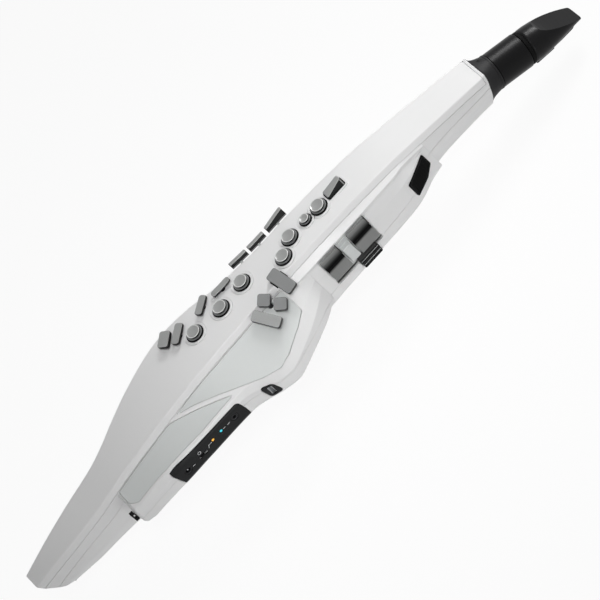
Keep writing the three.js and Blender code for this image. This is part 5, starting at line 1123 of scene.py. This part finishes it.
for name, start_share, end_share in (("palm_key_lower", 0.5425, 0.5721), ("palm_key_upper", 0.5906, 0.622)):
    start, end = x_at(start_share), x_at(end_share)
    rounding = ((0, 0.75), (0.1, 0.45), (0.3, 0.18), (0.7, 0))
    rings = [palm_ring(start + into, pull) for into, pull in rounding]
    rings += [palm_ring(x, 0) for x in stations(start + 1.5, end - 1.5, 2)]
    rings += [palm_ring(end - into, pull) for into, pull in reversed(rounding)]
    piece(f"{name}_paddle", loft(rings), gunmetal_with_painted_band, body=name, stands_for=name, angle=48)
    # A black block at the head end of each paddle stands in for the shadow in the gap there: painted shadow.
    painted_end_shadow = block((end + 0.06, -1.015 * hand["foot_out"], palm_foot + 0.655 * hand["foot_drop"]),
                    (end + 0.55, -0.93 * hand["foot_out"], palm_foot + 0.835 * hand["foot_drop"]))
    piece(f"{name}_end_gap", painted_end_shadow, shadow_black, soft=0.1)

palm_opening = block((x_at(0.5425) - 0.45, -instrument_length, body_depth + palm["bottom"]),
                     (x_at(0.622) + 0.6, -palm["depth"], body_depth + palm["top"]))
low_palm = dict(tail=x_at(0.5798), head=x_at(0.6111), top=-36.6, bottom=-46.6, out=32.4, inner=27, corner=1.2,
                notch=-36)
third = prism([
    (low_palm["tail"], -low_palm["inner"], 0), (low_palm["head"], -low_palm["inner"], 0),
    (low_palm["head"], -low_palm["out"], low_palm["corner"]), (low_palm["tail"], -low_palm["out"], low_palm["corner"]),
], body_depth + low_palm["bottom"], body_depth + low_palm["top"], steps=8)
steps_in = [block((low_palm["tail"] - 1, -low_palm["out"] - 1, body_depth + low_palm["top"] - 2.7 - 2.2 * i),
                  (low_palm["head"] + 1, -low_palm["out"] + 0.35, body_depth + low_palm["top"] - 1.9 - 2.2 * i))
            for i in range(3)]
# The black third key is lighter grey on its upward faces only: painted light on its top.
third_key_painted_top = surface("third_key_painted_light", paint(84, 84, 84), 0.36, metal=0.3, cloud=0.04, grain=0.1, shine=0.3)
shade_by_facing("palm_key_third_paddle", combine(third, steps_in), third_key_painted_top, black_plastic, "palm_key_third", 0.7,
         "palm_key_third", Matrix(), soft=0.25)
for i in (0, 2):
    line_top = body_depth + low_palm["top"] - 1.95 - 2.2 * i
    piece(f"palm_key_third_line_{i}", block((low_palm["tail"] + 0.5, -low_palm["out"] + 0.1, line_top - 0.5),
                                            (low_palm["head"] - 0.5, -low_palm["out"] + 0.5, line_top)),
          silver_paint, body="palm_key_third", stands_for="palm_key_third", soft=0.1)
low_palm_opening = block(
    (low_palm["tail"] - slot_gap, -instrument_length, body_depth + low_palm["bottom"] - slot_gap),
    (low_palm["head"] + slot_gap, -palm["depth"], body_depth + low_palm["notch"]))
cradle_in = -palm["cradle_out"] + palm["cradle_wall"]
cradle = block((palm["tail"] + slot_gap, -palm["cradle_out"], body_depth + palm["bottom"] + slot_gap),
               (palm["head"] - slot_gap, cradle_in, body_depth + palm["top"] - slot_gap))
bridge = prism([
    (palm["bridge_tail"], -palm["cradle_out"], 0), (palm["bridge_head"], -palm["cradle_out"], 0),
    (palm["bridge_head"], -palm["bridge_out"], palm["cradle_round"]),
    (palm["bridge_tail"], -palm["bridge_out"], palm["cradle_round"]),
], body_depth + palm["bridge_bottom"], body_depth + palm["bridge_top"], steps=8)
cradle = combine(combine(cradle, [bridge], "UNION"), [low_palm_opening])
piece("palm_cradle_saddle", cradle, silver_paint, stands_for="palm_cradle", soft=0.3)

# The silver panels come last, because the seats and stems of the little-finger keys are cut out of them
for name, plate in panel_plates.items():
    piece(f"{name}_plate", combine(plate, table_cuts), silver_paint, stands_for=name, soft=0.12)

# ---- Neck collar, barrel and joint ring ----
# A matt black collar turns the squared head of the body into a round barrel; both are moulded in glass-filled nylon.
# A rubber ring seals the joint where the mouthpiece pulls off its tenon.

neck = dict(fall=math.radians(16), radius=14.2, collar_end=13, barrel_end=40.6, bore=3.4)
neck_out = Vector((math.cos(neck["fall"]), 0, -math.sin(neck["fall"])))
neck_front = Vector((math.sin(neck["fall"]), 0, math.cos(neck["fall"])))
neck_place = Matrix.Translation((x_at(0.8498), 0.0625 * half_width, 0.55 * body_depth)) @ Matrix(
    (neck_front, Vector((0, -1, 0)), neck_out)).transposed().to_4x4()
to_neck = neck_place.inverted()
collar_lip, tenon_radius, tenon_length = 11.4, 8.6, 11
head_ring = [to_neck @ Vector(p) for p in ring_at(head["end"] + seam, inset(core_corners(head["end"]), seam), 12)]


def evened(ring, count):
    """The same closed line through points an even way apart."""
    sides = [(ring[i], ring[(i + 1) % len(ring)]) for i in range(len(ring))]
    step = sum((b - a).length for a, b in sides) / count
    points, left = [], 0.0
    for a, b in sides:
        long = (b - a).length
        while left < long and len(points) < count:
            points.append(a.lerp(b, left / long))
            left += step
        left -= long
    return points


even_ring = evened(head_ring, 144)


def collar_ring(share, height, radius):
    """The squared head turning round: its corners soften as the ring leaves it."""
    ring = list(even_ring)
    for _ in range(round(40 * min((share * 1.7) ** 2, 1))):
        ring = [(ring[i - 1] + ring[i] * 2 + ring[(i + 1) % len(ring)]) / 4 for i in range(len(ring))]
    grown = []
    for p in ring:
        angle = math.atan2(p.y, p.x)
        grown.append(p.lerp(Vector((radius * math.cos(angle), radius * math.sin(angle), height)), share))
    return grown


blends = [0, 0.02, 0.06, 0.12, 0.2, 0.3, 0.4, 0.5, 0.6, 0.7, 0.8, 0.88, 0.95, 1]
rings = [collar_ring(t**1.3, collar_lip * t, neck["radius"]) for t in blends[:-1]]
lip = neck["radius"] + seam
rings += [collar_ring(1, collar_lip - 0.05, lip - 0.25), collar_ring(1, collar_lip + 0.15, lip),
          collar_ring(1, neck["collar_end"] - 0.2, lip), collar_ring(1, neck["collar_end"], lip - 0.2)]
collar = combine(loft(rings, neck_place), [rod(neck["bore"], -neck["barrel_end"], neck["barrel_end"], neck_place)])
matt_black = surface("matt_black_nylon", paint(34, 34, 35), 0.5, cloud=0.08, cloud_size=70, grain=0.22, grain_size=2400,
                     shine=0.14)
collar_skin = BVHTree.FromPolygons([v.co for v in collar.data.vertices],
                                   [list(p.vertices) for p in collar.data.polygons])
piece("collar_moulding", collar, matt_black, stands_for="neck_collar", angle=45)
barrel_start, barrel_end = neck["collar_end"] + seam, neck["barrel_end"]
tenon_end = barrel_end + tenon_length
satin_black = surface("satin_black_barrel", paint(5, 5, 6), 0.36, cloud=0.05, grain=0.02, grain_size=2000,
                      rough_spread=0.05, shine=0.15)
shape = [(neck["bore"], barrel_start), (neck["radius"] - 0.35, barrel_start), (neck["radius"], barrel_start + 0.35),
         (neck["radius"], barrel_end - 0.9), (neck["radius"] - 0.25, barrel_end - 0.3),
         (neck["radius"] - 0.8, barrel_end), (tenon_radius, barrel_end), (tenon_radius, tenon_end - 0.6),
         (tenon_radius - 0.6, tenon_end), (neck["bore"], tenon_end), (neck["bore"], barrel_start)]
piece("barrel_tube", turned(shape, neck_place, 96), satin_black, stands_for="neck_barrel")
rubber = surface("black_rubber", paint(16, 16, 16), 0.75, cloud=0.06, grain=0.25, grain_size=1800, shine=0.08)
ring_start = barrel_end + seam
ring_end = ring_start + 3
shape = [(tenon_radius + seam, ring_start), (13.4, ring_start), (13.75, ring_start + 0.35), (13.75, ring_end - 0.35),
         (13.4, ring_end), (tenon_radius + seam, ring_end), (tenon_radius + seam, ring_start)]
piece("joint_seal", turned(shape, neck_place, 96), rubber, stands_for="joint_ring")


def screw(name, place, radius, finish, body="instrument_body"):
    """A countersunk screw with a cross recess, its head level with the surface."""
    head_form = turned([(0, -1.4), (radius * 0.5, -1.4), (radius, -0.25), (radius, 0.02), (radius * 0.85, 0.12),
                        (0, 0.16)], place, 32)
    cross = [block((-radius * 0.62, -0.16, -0.5), (radius * 0.62, 0.16, 1), place),
             block((-0.16, -radius * 0.62, -0.5), (0.16, radius * 0.62, 1), place)]
    piece(name, combine(head_form, cross), finish, body=body)


spot, out, _, _ = collar_skin.find_nearest(Vector((211.4, 6.3, 58)))
screw_place = basis(spot, out.cross(Vector((0, 1, 0))), out) @ Matrix.Translation((0, 0, 0.02))
screw("collar_screw", screw_place, 1.8, satin_black)

# ---- Mouthpiece and reed ----
# The beak is turned and milled from black ebonite-like resin: a round shank, a flat sloping face on top
# and a flat table below for the resin reed, which is clamped over the air slit.

beak_length, beak_radius, tenon_gap = 46.5, 14.2, 0.4
beak_start = ring_end + seam


def along_rows(rows, s):
    k = next((i for i in range(1, len(rows)) if rows[i][0] >= s), len(rows) - 1)
    (p0, v0), (p1, v1) = rows[k - 1], rows[k]
    return v0 + (v1 - v0) * (s - p0) / (p1 - p0)


shank = [(0, 0.93), (0.012, 0.965), (0.03, 0.98), (0.14, 0.98)]
back_rows = shank + [(0.3, 0.93), (1, 0.6)]
under_rows = shank + [(0.2, 0.95), (0.42, 0.85), (1, 0.45)]
width_rows = shank + [(0.3, 0.94), (0.6, 0.79), (0.85, 0.67), (1, 0.62)]
rings = []
for i in range(81):
    s = i / 80
    up, down, wide = along_rows(back_rows, s), along_rows(under_rows, s), along_rows(width_rows, s)
    rings.append([(beak_radius * ((up - down) / 2 + (up + down) / 2 * math.cos(a)), beak_radius * wide * math.sin(a),
                   beak_start + s * beak_length) for a in (2 * math.pi * k / 72 for k in range(72))])
beak = loft(rings, neck_place)
face_line = [(beak_start + s * beak_length, beak_radius * h) for s, h in [
    (0.2, 1.12), (0.225, 0.98), (0.25, 0.9), (0.29, 0.81), (0.36, 0.69), (0.46, 0.545), (0.6, 0.36), (0.75, 0.17),
    (0.9, -0.02), (1.02, -0.17)]]


def trim(line, side):
    """A cutter as wide as the beak, bounded by a line down its length."""
    near = [(up, -20, h) for h, up in line] + [(side * 40, -20, line[-1][0]), (side * 40, -20, line[0][0])]
    far = [(up, 20, h) for h, up in line] + [(side * 40, 20, line[-1][0]), (side * 40, 20, line[0][0])]
    return loft([near, far], neck_place)


tip = neck_place @ Matrix.Rotation(math.radians(90), 4, "Y")
beak_end = beak_start + beak_length - 0.4
tip_round = prism([(-beak_end, -8.4, 5.6), (-beak_end, 8.4, 5.6),
                   (-beak_start + 5, 40, 0), (-beak_start + 5, -40, 0)], -60, 60, tip, 14)
slit_start = beak_start + beak_length * 0.44
slit_fall = math.atan2(beak_radius * (-0.3 + 0.04), beak_length * 0.56)
slit_place = neck_place @ frame_at(beak_radius * -0.04, 0, slit_start, tilt_y=slit_fall)
slit = block((-0.45, -4.5, 0), (0.45, 4.5, beak_length), slit_place)
reed = dict(width=13, thickness=1.2, length=22, gap=0.3)
reed_place = neck_place @ frame_at(-beak_radius * 0.8, 0, beak_start + 0.42 * beak_length, tilt_y=math.radians(10))
reed_slot = block((-half_width, -beak_radius, -reed["gap"]),
                  (reed["thickness"] + reed["gap"], beak_radius, beak_length), reed_place)
beak = combine(beak, [tip_round], "INTERSECT")
beak = combine(beak, [
    trim(face_line, 1), slit, reed_slot,
    rod(tenon_radius + tenon_gap, neck["barrel_end"], neck["barrel_end"] + tenon_length + tenon_gap, neck_place, 64),
    rod(3.4, neck["barrel_end"], slit_start + 1, neck_place),
])
beak_black = surface("beak_resin", paint(16, 16, 17), 0.34, cloud=0.06, grain=0.06, grain_size=1600, shine=0.14)
piece("beak", beak, beak_black, body="mouthpiece", stands_for="mouthpiece", angle=32)
reed_rings = []
for i in range(13):
    t = i / 12
    thick = reed["thickness"] * (1 if t < 0.35 else 1 - 0.8 * (t - 0.35) / 0.65)
    half = reed["width"] / 2 - (0 if t < 0.8 else 2.6 * ((t - 0.8) / 0.2) ** 2)
    deep = reed["thickness"]
    reed_rings.append([(a, b, t * reed["length"]) for a, b in rounded(
        [(deep - thick, -half, 0.25), (deep - thick, half, 0.25), (deep, half, 0.1), (deep, -half, 0.1)], 3)])
reed_black = surface("reed_resin", paint(46, 47, 48), 0.5, cloud=0.08, stretch=(6, 6, 1), cloud_size=300, grain=0.15,
                     shine=0.2)
piece("reed_blade", loft(reed_rings, reed_place), reed_black, body="mouthpiece", stands_for="reed")
stock = [(0.035, 1.0, 0.64), (0.05, 1.03, 0.64), (0.3, 0.93, 0.64), (0.395, 0.88, 0.64)]
stock_rings = [[(-beak_radius * a, b, beak_start + s * beak_length) for a, b in rounded(
    [(low, -6.6, 0.05), (high, -6.6, 0.05), (high, 6.6, 0.05), (low, 6.6, 0.05)], 3)] for s, high, low in stock]
piece("reed_stock", loft(stock_rings, neck_place), reed_black, body="mouthpiece", soft=0.15)
dress("breath_tube", silicone)
dress("breath_sensor", black_plastic)

# ---- Tail foot and lead hook ----
# A black rubber foot is glued in the slanted tail end, so the horn can stand on it.
# A moulded hook on the end of the control box holds the adapter lead.

foot = dict(across=1.5, width=11, thickness=2.2, corner=1.5)
tail_top = Vector((tail["end"], foot["across"], deck_height(tail["end"])))
tail_down, tail_out = Vector((tail["lean"], 0, -1)).normalized(), Vector((-1, 0, -tail["lean"])).normalized()
tail_length = (deck_height(tail["end"]) - back_height(tail["end"])) * math.hypot(1, tail["lean"])
foot_corners = [(share * tail_length, side * foot["width"] / 2, foot["corner"])
                for share, side in ((0.47, -1), (0.93, -1), (0.93, 1), (0.47, 1))]
piece("tail_foot_pad", prism(foot_corners, seam, foot["thickness"], basis(tail_top, tail_down, tail_out), 8), rubber,
      stands_for="tail_foot", soft=0.5)
hook_out, hook_foot = 1.2188 * half_width, 0.5407 * body_depth
hook_low = (wing["tail"] - 3.4, -hook_out - 1.5, hook_foot)
hook_high = (wing["tail"] - seam, -hook_out + 1.5, hook_foot + 9.5)
hook_form = combine(block(hook_low, hook_high), [
    block((hook_low[0] + 1.1, hook_low[1] - 1, hook_foot + 2.4),
          (hook_high[0] - 0.7, hook_high[1] + 1, hook_foot + 7.4))])
piece("lead_hook_loop", hook_form, black_plastic, stands_for="lead_hook", soft=0.25)

# ---- Thumb hook and strap ring ----
# The right thumb carries the instrument on a J-shaped hook; a steel eye beside it takes a neck strap.
# Both are screwed to the back on base plates.


def back_frame(x, y):
    slope = (back_height(x + wall) - back_height(x - wall)) / (2 * wall)
    return basis(Vector((x, y, back_height(x))), Vector((1, 0, slope)), Vector((slope, 0, -1)))


back_line = 0.125 * half_width
rest_x = x_at(0.554)
octave_down, octave_up = rest_x - 16.8, rest_x + 16.8
ring_x = octave_down - 13
hook_x = ring_x - 14.7
sideways = Matrix.Rotation(math.radians(90), 4, "X")
thumb_hook = dict(plate=13.5, width=15, thick=2.2, reach=18, lip=12, round=6, gap=0.7)
hook_place = back_frame(hook_x, back_line) @ sideways
half_plate, hook_side = thumb_hook["plate"] / 2, thumb_hook["width"] / 2
inner = half_plate - thumb_hook["thick"]
hook_outer = prism([(-half_plate, thumb_hook["gap"], 0), (half_plate, thumb_hook["gap"], 0),
                    (half_plate, thumb_hook["reach"], thumb_hook["round"]), (-half_plate, thumb_hook["reach"], 0)],
                   -hook_side, hook_side, hook_place, 12)
hook_hollow = prism([(-half_plate - overrun, thumb_hook["gap"] + thumb_hook["thick"], 0),
                     (inner, thumb_hook["gap"] + thumb_hook["thick"], thumb_hook["thick"]),
                     (inner, thumb_hook["reach"] - thumb_hook["thick"], thumb_hook["round"] - thumb_hook["thick"]),
                     (-half_plate - overrun, thumb_hook["reach"] - thumb_hook["thick"], 0)],
                    -hook_side - overrun, hook_side + overrun, hook_place, 12)
hook_tip = half_plate - thumb_hook["lip"]
hook_trim = block((-half_plate - overrun, thumb_hook["reach"] - 2 * thumb_hook["thick"], -hook_side - overrun),
                  (hook_tip, thumb_hook["reach"] + overrun, hook_side + overrun), hook_place)
piece("thumb_hook_strip", combine(hook_outer, [hook_hollow, hook_trim]), matt_black,
      stands_for="thumb_hook", soft=0.5)
for i, side in enumerate((-4.2, 4.2)):
    screw(f"hook_screw_{i}", back_frame(hook_x - 2, back_line + side) @ Matrix.Translation((0, 0, 2.95)), 1.7, steel)
ring_place = back_frame(ring_x, back_line)
eye_radius, wire_radius, turns, wire_turns = 6, 1.4, 56, 20
ring_up = 0.6 + wire_radius + eye_radius
eye_rings = []
for i in range(turns):
    a = 2 * math.pi * i / turns
    wire = [2 * math.pi * k / wire_turns for k in range(wire_turns)]
    eye_rings.append([((eye_radius + wire_radius * math.cos(b)) * math.cos(a), wire_radius * math.sin(b),
                       ring_up + (eye_radius + wire_radius * math.cos(b)) * math.sin(a)) for b in wire])
eye_points = [ring_place @ Vector(p) for ring in eye_rings for p in ring]
eye_faces = [[i * wire_turns + k, i * wire_turns + (k + 1) % wire_turns,
              ((i + 1) % turns) * wire_turns + (k + 1) % wire_turns, ((i + 1) % turns) * wire_turns + k]
             for i in range(turns) for k in range(wire_turns)]
ring_plate = prism(slanted(9, 9, 0, 2), 0.6, 2.1, ring_place, 8)
piece("strap_eye", combine(solid(eye_points, eye_faces), [ring_plate], "UNION"), steel,
      stands_for="strap_ring", soft=0.2)
for i, (a, b) in enumerate(((-3.1, -3.1), (-3.1, 3.1), (3.1, -3.1), (3.1, 3.1))):
    screw(f"ring_screw_{i}", ring_place @ Matrix.Translation((a, b, 2.15)), 0.9, steel)

# ---- Thumb rest and octave keys ----
# The left thumb lies on a ridged rubber pad, glued in a round seat of the rear cover.
# A satin-grey ABS plate on a stem stands at each side of it: one octave down, one octave up.

back_cuts = []
rest_radius, rest_rise, rest_seat, rest_gap = 9.4, 3, 0.8, 0.3
rest_place = back_frame(rest_x, back_line)
rest_low = rest_gap - rest_seat
rest_shape = [(0, rest_low), (rest_radius - 0.2, rest_low), (rest_radius, rest_low + 0.2),
              (rest_radius, rest_seat - 0.2), (rest_radius - 0.25, rest_seat + 0.1)]
for i in range(24):
    r = rest_radius - 0.5 - i * (rest_radius - 1) / 24
    dome = rest_seat + (rest_rise - rest_seat) * (1 - (r / rest_radius) ** 2)
    rest_shape.append((r, min(dome, rest_rise) - (0.28 if i % 4 == 3 else 0)))
rest_shape.append((0, rest_rise - 0.05))
piece("thumb_rest_pad", turned(rest_shape, rest_place, 96), rubber, stands_for="thumb_rest",
      angle=50)
back_cuts.append(rod(rest_radius + rest_gap, -rest_seat, rest_rise, rest_place, 72))
octave = dict(length=13, width=9, rise=3.4, sunk=3, corner=2, foot=-6.4)
for name, x in (("octave_down_key", octave_down), ("octave_up_key", octave_up)):
    place = back_frame(x, back_line)
    corners = slanted(octave["length"], octave["width"], 0, octave["corner"])
    form = combine(slab(corners, -octave["sunk"], octave["rise"], 0.8, place, crown=0.5),
                   [key_stem(octave["foot"], -octave["sunk"] + 0.8, place)], "UNION")
    piece(f"{name}_plate", form, key_satin, body=name, stands_for=name, angle=50)
    back_cuts.append(prism(inset(corners, -slot_gap), -octave["sunk"] - wall, octave["rise"], place, 8))

# ---- Bend lever and back buttons ----
# A rocker with a raised rib bends the pitch; two small round buttons beside it and three under the display
# are black caps held from inside by a flange.

lever = dict(length=12, width=9, sunk=2.4, rise=1.6, rib=4.6, rib_width=2.6, corner=1, clear=2.5)
lever_x = octave_up + 16.2
lever_place = back_frame(lever_x, back_line)
lever_end, rib_end = lever["length"] / 2, lever["rib_width"] / 2
lever_form = prism([
    (-lever_end, -lever["sunk"], lever["corner"]), (lever_end, -lever["sunk"], lever["corner"]),
    (lever_end, lever["rise"], lever["corner"]), (rib_end, lever["rise"], lever["corner"]),
    (rib_end, lever["rib"], lever["corner"]), (-rib_end, lever["rib"], lever["corner"]),
    (-rib_end, lever["rise"], lever["corner"]), (-lever_end, lever["rise"], lever["corner"]),
], -lever["width"] / 2, lever["width"] / 2, lever_place @ sideways, 6)
rib_lines = [block((-0.15 + i * 0.75, -3.6, lever["rib"] - 0.25), (0.15 + i * 0.75, 3.6, lever["rib"] + 1), lever_place)
             for i in (-1, 0, 1)]
piece("bend_lever_rocker", combine(lever_form, rib_lines), key_satin, body="bend_lever",
      stands_for="bend_lever", soft=0.3)
back_cuts.append(prism(slanted(lever["length"] + lever["clear"], lever["width"] + 2 * slot_gap, 0, lever["corner"]),
                       -lever["sunk"] - wall, lever["rib"], lever_place, 8))
button = dict(radius=2.5, rise=1.3, round=0.4, foot=-4.9, flange=0.8, flange_top=-3.3, pitch=5.7)
for name, along, across, share, pitches in [
    ("s1_button", 0.6376, 0.0625, 1, -0.7), ("s2_button", 0.6376, 0.0625, 1, 0.7),
    ("menu_button", 0.7038, 0.041, 0.8, -1), ("minus_button", 0.7038, 0.041, 0.8, 0),
    ("plus_button", 0.7038, 0.041, 0.8, 1),
]:
    place = back_frame(x_at(along), across * half_width + pitches * button["pitch"])
    radius = button["radius"] * share
    rim, rise = button["round"], button["rise"]
    shape = [(0, button["foot"]), (radius + button["flange"], button["foot"]),
             (radius + button["flange"], button["flange_top"]), (radius, button["flange_top"]), (radius, rise - rim)]
    shape += [(radius - rim + rim * math.cos(a), rise - rim + rim * math.sin(a)) for a in (0.4, 0.8, 1.2, 1.57)]
    shape += [(radius * 0.6, rise - 0.1), (radius * 0.3, rise - 0.18), (0, rise - 0.2)]
    piece(f"{name}_cap", turned(shape, place, 48), black_plastic, body=name, stands_for=name, angle=50)
    back_cuts.append(rod(radius + slot_gap / 2, -wall - overrun, button["rise"], place, 48))

# ---- Display window ----
# A smoked acrylic pane covers the small display on the back of the neck.
# It is glued flush in a seat of the rear cover, and its frame is printed black from behind.

display = dict(length=24, width=12.6, seat=1.3, corner=1.2, gap=0.3)
display_place = back_frame(x_at(0.6707), 0.0438 * half_width)
display_corners = slanted(display["length"], display["width"], 0, display["corner"])
pane_low = display["gap"] / 2 - display["seat"]
pane_black = surface("smoked_pane", paint(16, 17, 20), 0.08, coat=1.0, coat_rough=0.03, cloud=0.02, grain=0.0)
piece("display_pane", prism(display_corners, pane_low, pane_low + 1.1, display_place, 8), pane_black,
      stands_for="display_window", soft=0.15)
back_cuts.append(prism(inset(display_corners, -display["gap"]), -display["seat"], overrun, display_place, 8))

# ---- Front cover, side casing and rear cover ----
# The three covers are injection-moulded ABS sprayed pearl white and clear-coated, screwed together from the back.
# The fine gaps between them, the key wells and every opening are trimmed here from the hollow form.


def region(low, high, corners_at):
    places = stations(low, high, 4)
    return loft([[(leaned(x, z), y, z) for y, z in corners_at(x)] for x in places])


def deck_region(grow):
    """All above the groove is front cover, which ends a rim short of the neck."""
    return region(tail["end"] - overrun, head["end"] - head["rim"] + grow, lambda x: [
        (-groove_out(x) - grow, groove_height(x) + seam / 2 - grow),
        (left_edge(x) + core["bevel_out"] + grow, groove_height(x) + seam / 2 - grow),
        (left_edge(x) + core["bevel_out"] + grow, body_depth + overrun),
        (-groove_out(x) - grow, body_depth + overrun),
    ])


def back_region(grow):
    return region(tail["end"] - overrun, head["end"] + overrun, lambda x: [
        (-body_depth, -overrun), (body_depth, -overrun),
        (body_depth, parting_height(x) - seam / 2 + grow), (-body_depth, parting_height(x) - seam / 2 + grow),
    ])


white_lacquer = surface("pearl_white_lacquer", paint(231, 231, 231), 0.38, coat=0.12, coat_rough=0.2, cloud=0.012,
                        cloud_size=18, grain=0.03, grain_size=1400, shine=0.4)
nodes, links = white_lacquer.node_tree.nodes, white_lacquer.node_tree.links
worn = nodes.new("ShaderNodeBevel")
worn.samples = 4
worn.inputs["Radius"].default_value = 0.0003
links.new(worn.outputs["Normal"], nodes["Bump"].inputs["Normal"])

front_cover = combine(copy_of(shell), [deck_region(0)], "INTERSECT")
front_cover = combine(front_cover, deck_pads, "UNION")
front_cover = combine(front_cover, [*deck_cuts, *table_cuts])
piece("front_cover_shell", front_cover, white_lacquer, stands_for="front_cover", angle=30)

side_casing = combine(copy_of(shell), [deck_region(seam), back_region(seam)])
side_casing = combine(side_casing, [palm_opening, low_palm_opening, *table_cuts, *deck_cuts, *casing_cuts,
                                    rod(2.9 + slot_gap, -neck["collar_end"], neck["collar_end"], neck_place)])
piece("side_casing_shell", side_casing, white_lacquer, stands_for="side_casing", angle=30)

rear_cover = combine(combine(copy_of(shell), [back_region(0)], "INTERSECT"), [deck_region(seam)])
door_corners = [(bay["tail"], bay["right"], 4), (bay["head"], bay["right"], 4), (bay["head"], bay["left"], 4),
                (bay["tail"], bay["left"], 4)]
door_form = combine(copy_of(rear_cover), [prism(door_corners, -overrun, 12, steps=10)], "INTERSECT")
rear_cover = combine(rear_cover, [
    palm_opening, low_palm_opening, *wall_cuts, *back_cuts, grille_hole,
    rod(2.9 + slot_gap, -neck["collar_end"], neck["collar_end"], neck_place),
    prism(inset(door_corners, -0.4), -overrun, 12.4, steps=10),
])
piece("rear_cover_shell", rear_cover, white_lacquer, stands_for="rear_cover", angle=30)
for i, (along, across) in enumerate(((0.06, 0.02), (0.17, 0.3), (0.455, 0.5), (0.72, 0.3), (0.80, -0.1), (0.47, -0.2))):
    place = back_frame(x_at(along), across * half_width)
    screw(f"cover_screw_{i}", place @ Matrix.Translation((0, 0, 0.05)), 1.9, steel)

# ---- Battery door ----
# The door is a piece of the rear cover's own curve, moulded in the same ABS and sprayed with it.
# Ribs give a thumb grip, and the door lifts off the battery bay.

grip = [block((bay["tail"] + 6 + 1.6 * i, 5, -1), (bay["tail"] + 6.7 + 1.6 * i, 20, 0.35)) for i in range(6)]
piece("battery_door_panel", combine(door_form, grip), white_lacquer, body="battery_door",
      stands_for="battery_door", angle=30)

for form in [o for o in bpy.data.objects if o.name.startswith("form")]:
    bpy.data.objects.remove(form)

# ---- Table, lamps and camera ----
# The instrument lies on a white table in a plain white room, and the table keeps its soft shadow.
# Three large soft lamps light it: one beyond the neck, one above the deck and one low at its left.

table_half, table_grey, table_glow, room_light = 4, 0.78, 0.93, 0.235


def seen_rays(nodes, links):
    """1 for rays from the camera, through glass or off a shine: those see the plain white."""
    path = nodes.new("ShaderNodeLightPath")
    total = path.outputs["Is Camera Ray"]
    for kind in ("Is Transmission Ray", "Is Glossy Ray"):
        either = nodes.new("ShaderNodeMath")
        either.operation, either.use_clamp = "ADD", True
        links.new(total, either.inputs[0])
        links.new(path.outputs[kind], either.inputs[1])
        total = either.outputs["Value"]
    return total


floor_mesh = bpy.data.meshes.new("floor")
floor_mesh.from_pydata([(-table_half, -table_half, 0), (table_half, -table_half, 0), (table_half, table_half, 0),
                        (-table_half, table_half, 0)], [], [(0, 1, 2, 3)])
floor = bpy.data.objects.new("floor", floor_mesh)
bpy.context.scene.collection.objects.link(floor)
floor.location.z = -0.0003
table_white = bpy.data.materials.new("table_white")
table_white.use_nodes = True
nodes, links = table_white.node_tree.nodes, table_white.node_tree.links
cloth = nodes["Principled BSDF"]
cloth.inputs["Base Color"].default_value = (table_grey, table_grey, table_grey, 1)
cloth.inputs["Roughness"].default_value = 0.9
glow = nodes.new("ShaderNodeEmission")
glow.inputs["Strength"].default_value = 1.0
both = nodes.new("ShaderNodeMixShader")
share_seen = nodes.new("ShaderNodeMath")
share_seen.operation = "MULTIPLY"
share_seen.inputs[1].default_value = table_glow
links.new(seen_rays(nodes, links), share_seen.inputs[0])
links.new(share_seen.outputs["Value"], both.inputs["Fac"])
links.new(cloth.outputs["BSDF"], both.inputs[1])
links.new(glow.outputs["Emission"], both.inputs[2])
links.new(both.outputs["Shader"], nodes["Material Output"].inputs["Surface"])
floor_mesh.materials.append(table_white)

room = bpy.data.worlds.new("room")
bpy.context.scene.world = room
room.use_nodes = True
nodes, links = room.node_tree.nodes, room.node_tree.links
plain = nodes["Background"]
plain.inputs["Color"].default_value = (1, 1, 1, 1)
plain.inputs["Strength"].default_value = room_light
bright = nodes.new("ShaderNodeBackground")
bright.inputs["Strength"].default_value = 1.0
pick = nodes.new("ShaderNodeMixShader")
links.new(seen_rays(nodes, links), pick.inputs["Fac"])
links.new(plain.outputs["Background"], pick.inputs[1])
links.new(bright.outputs["Background"], pick.inputs[2])
links.new(pick.outputs["Shader"], nodes["World Output"].inputs["Surface"])


def soft_lamp(name, place, aim, size, power, fan):
    light = bpy.data.lights.new(name, "AREA")
    light.shape, light.size, light.energy, light.spread = "DISK", size, power, math.radians(fan)
    lamp = bpy.data.objects.new(name, light)
    lamp.location = place
    lamp.rotation_euler = (Vector(aim) - Vector(place)).to_track_quat("-Z", "Y").to_euler()
    bpy.context.scene.collection.objects.link(lamp)


soft_lamp("neck_lamp", (1.1, 0.5, 0.9), (0.32, 0, 0.03), 0.6, 1.02, 36)
soft_lamp("body_lamp", (-0.04, -0.55, 1.1), (-0.03, 0, 0.05), 0.5, 0.24, 24)
soft_lamp("side_lamp", (-0.05, -1.1, 0.25), (-0.02, 0, 0.05), 0.6, 0.33, 60)

stand_off, seen_width, film_width = 3, 0.433, 36
lean_side, lean_up, roll_along, roll_across = 0.656, 0.7547, 0.6756, 0.7373
picture_middle = Vector((-0.0039, -0.0084, 0.0555))
view_down = Vector((0, lean_side, -lean_up))
along, across = Vector((1, 0, 0)), Vector((0, lean_up, lean_side))
lens = bpy.data.cameras.new("camera")
lens.sensor_width, lens.lens = film_width, film_width * stand_off / seen_width
camera = bpy.data.objects.new("camera", lens)
right, above = along * roll_along - across * roll_across, along * roll_across + across * roll_along
camera.matrix_world = Matrix.Translation(picture_middle - view_down * stand_off) @ Matrix(
    (right, above, -view_down)).transposed().to_4x4()
bpy.context.scene.collection.objects.link(camera)
bpy.context.scene.camera = camera
bpy.context.scene.view_settings.view_transform = "Standard"
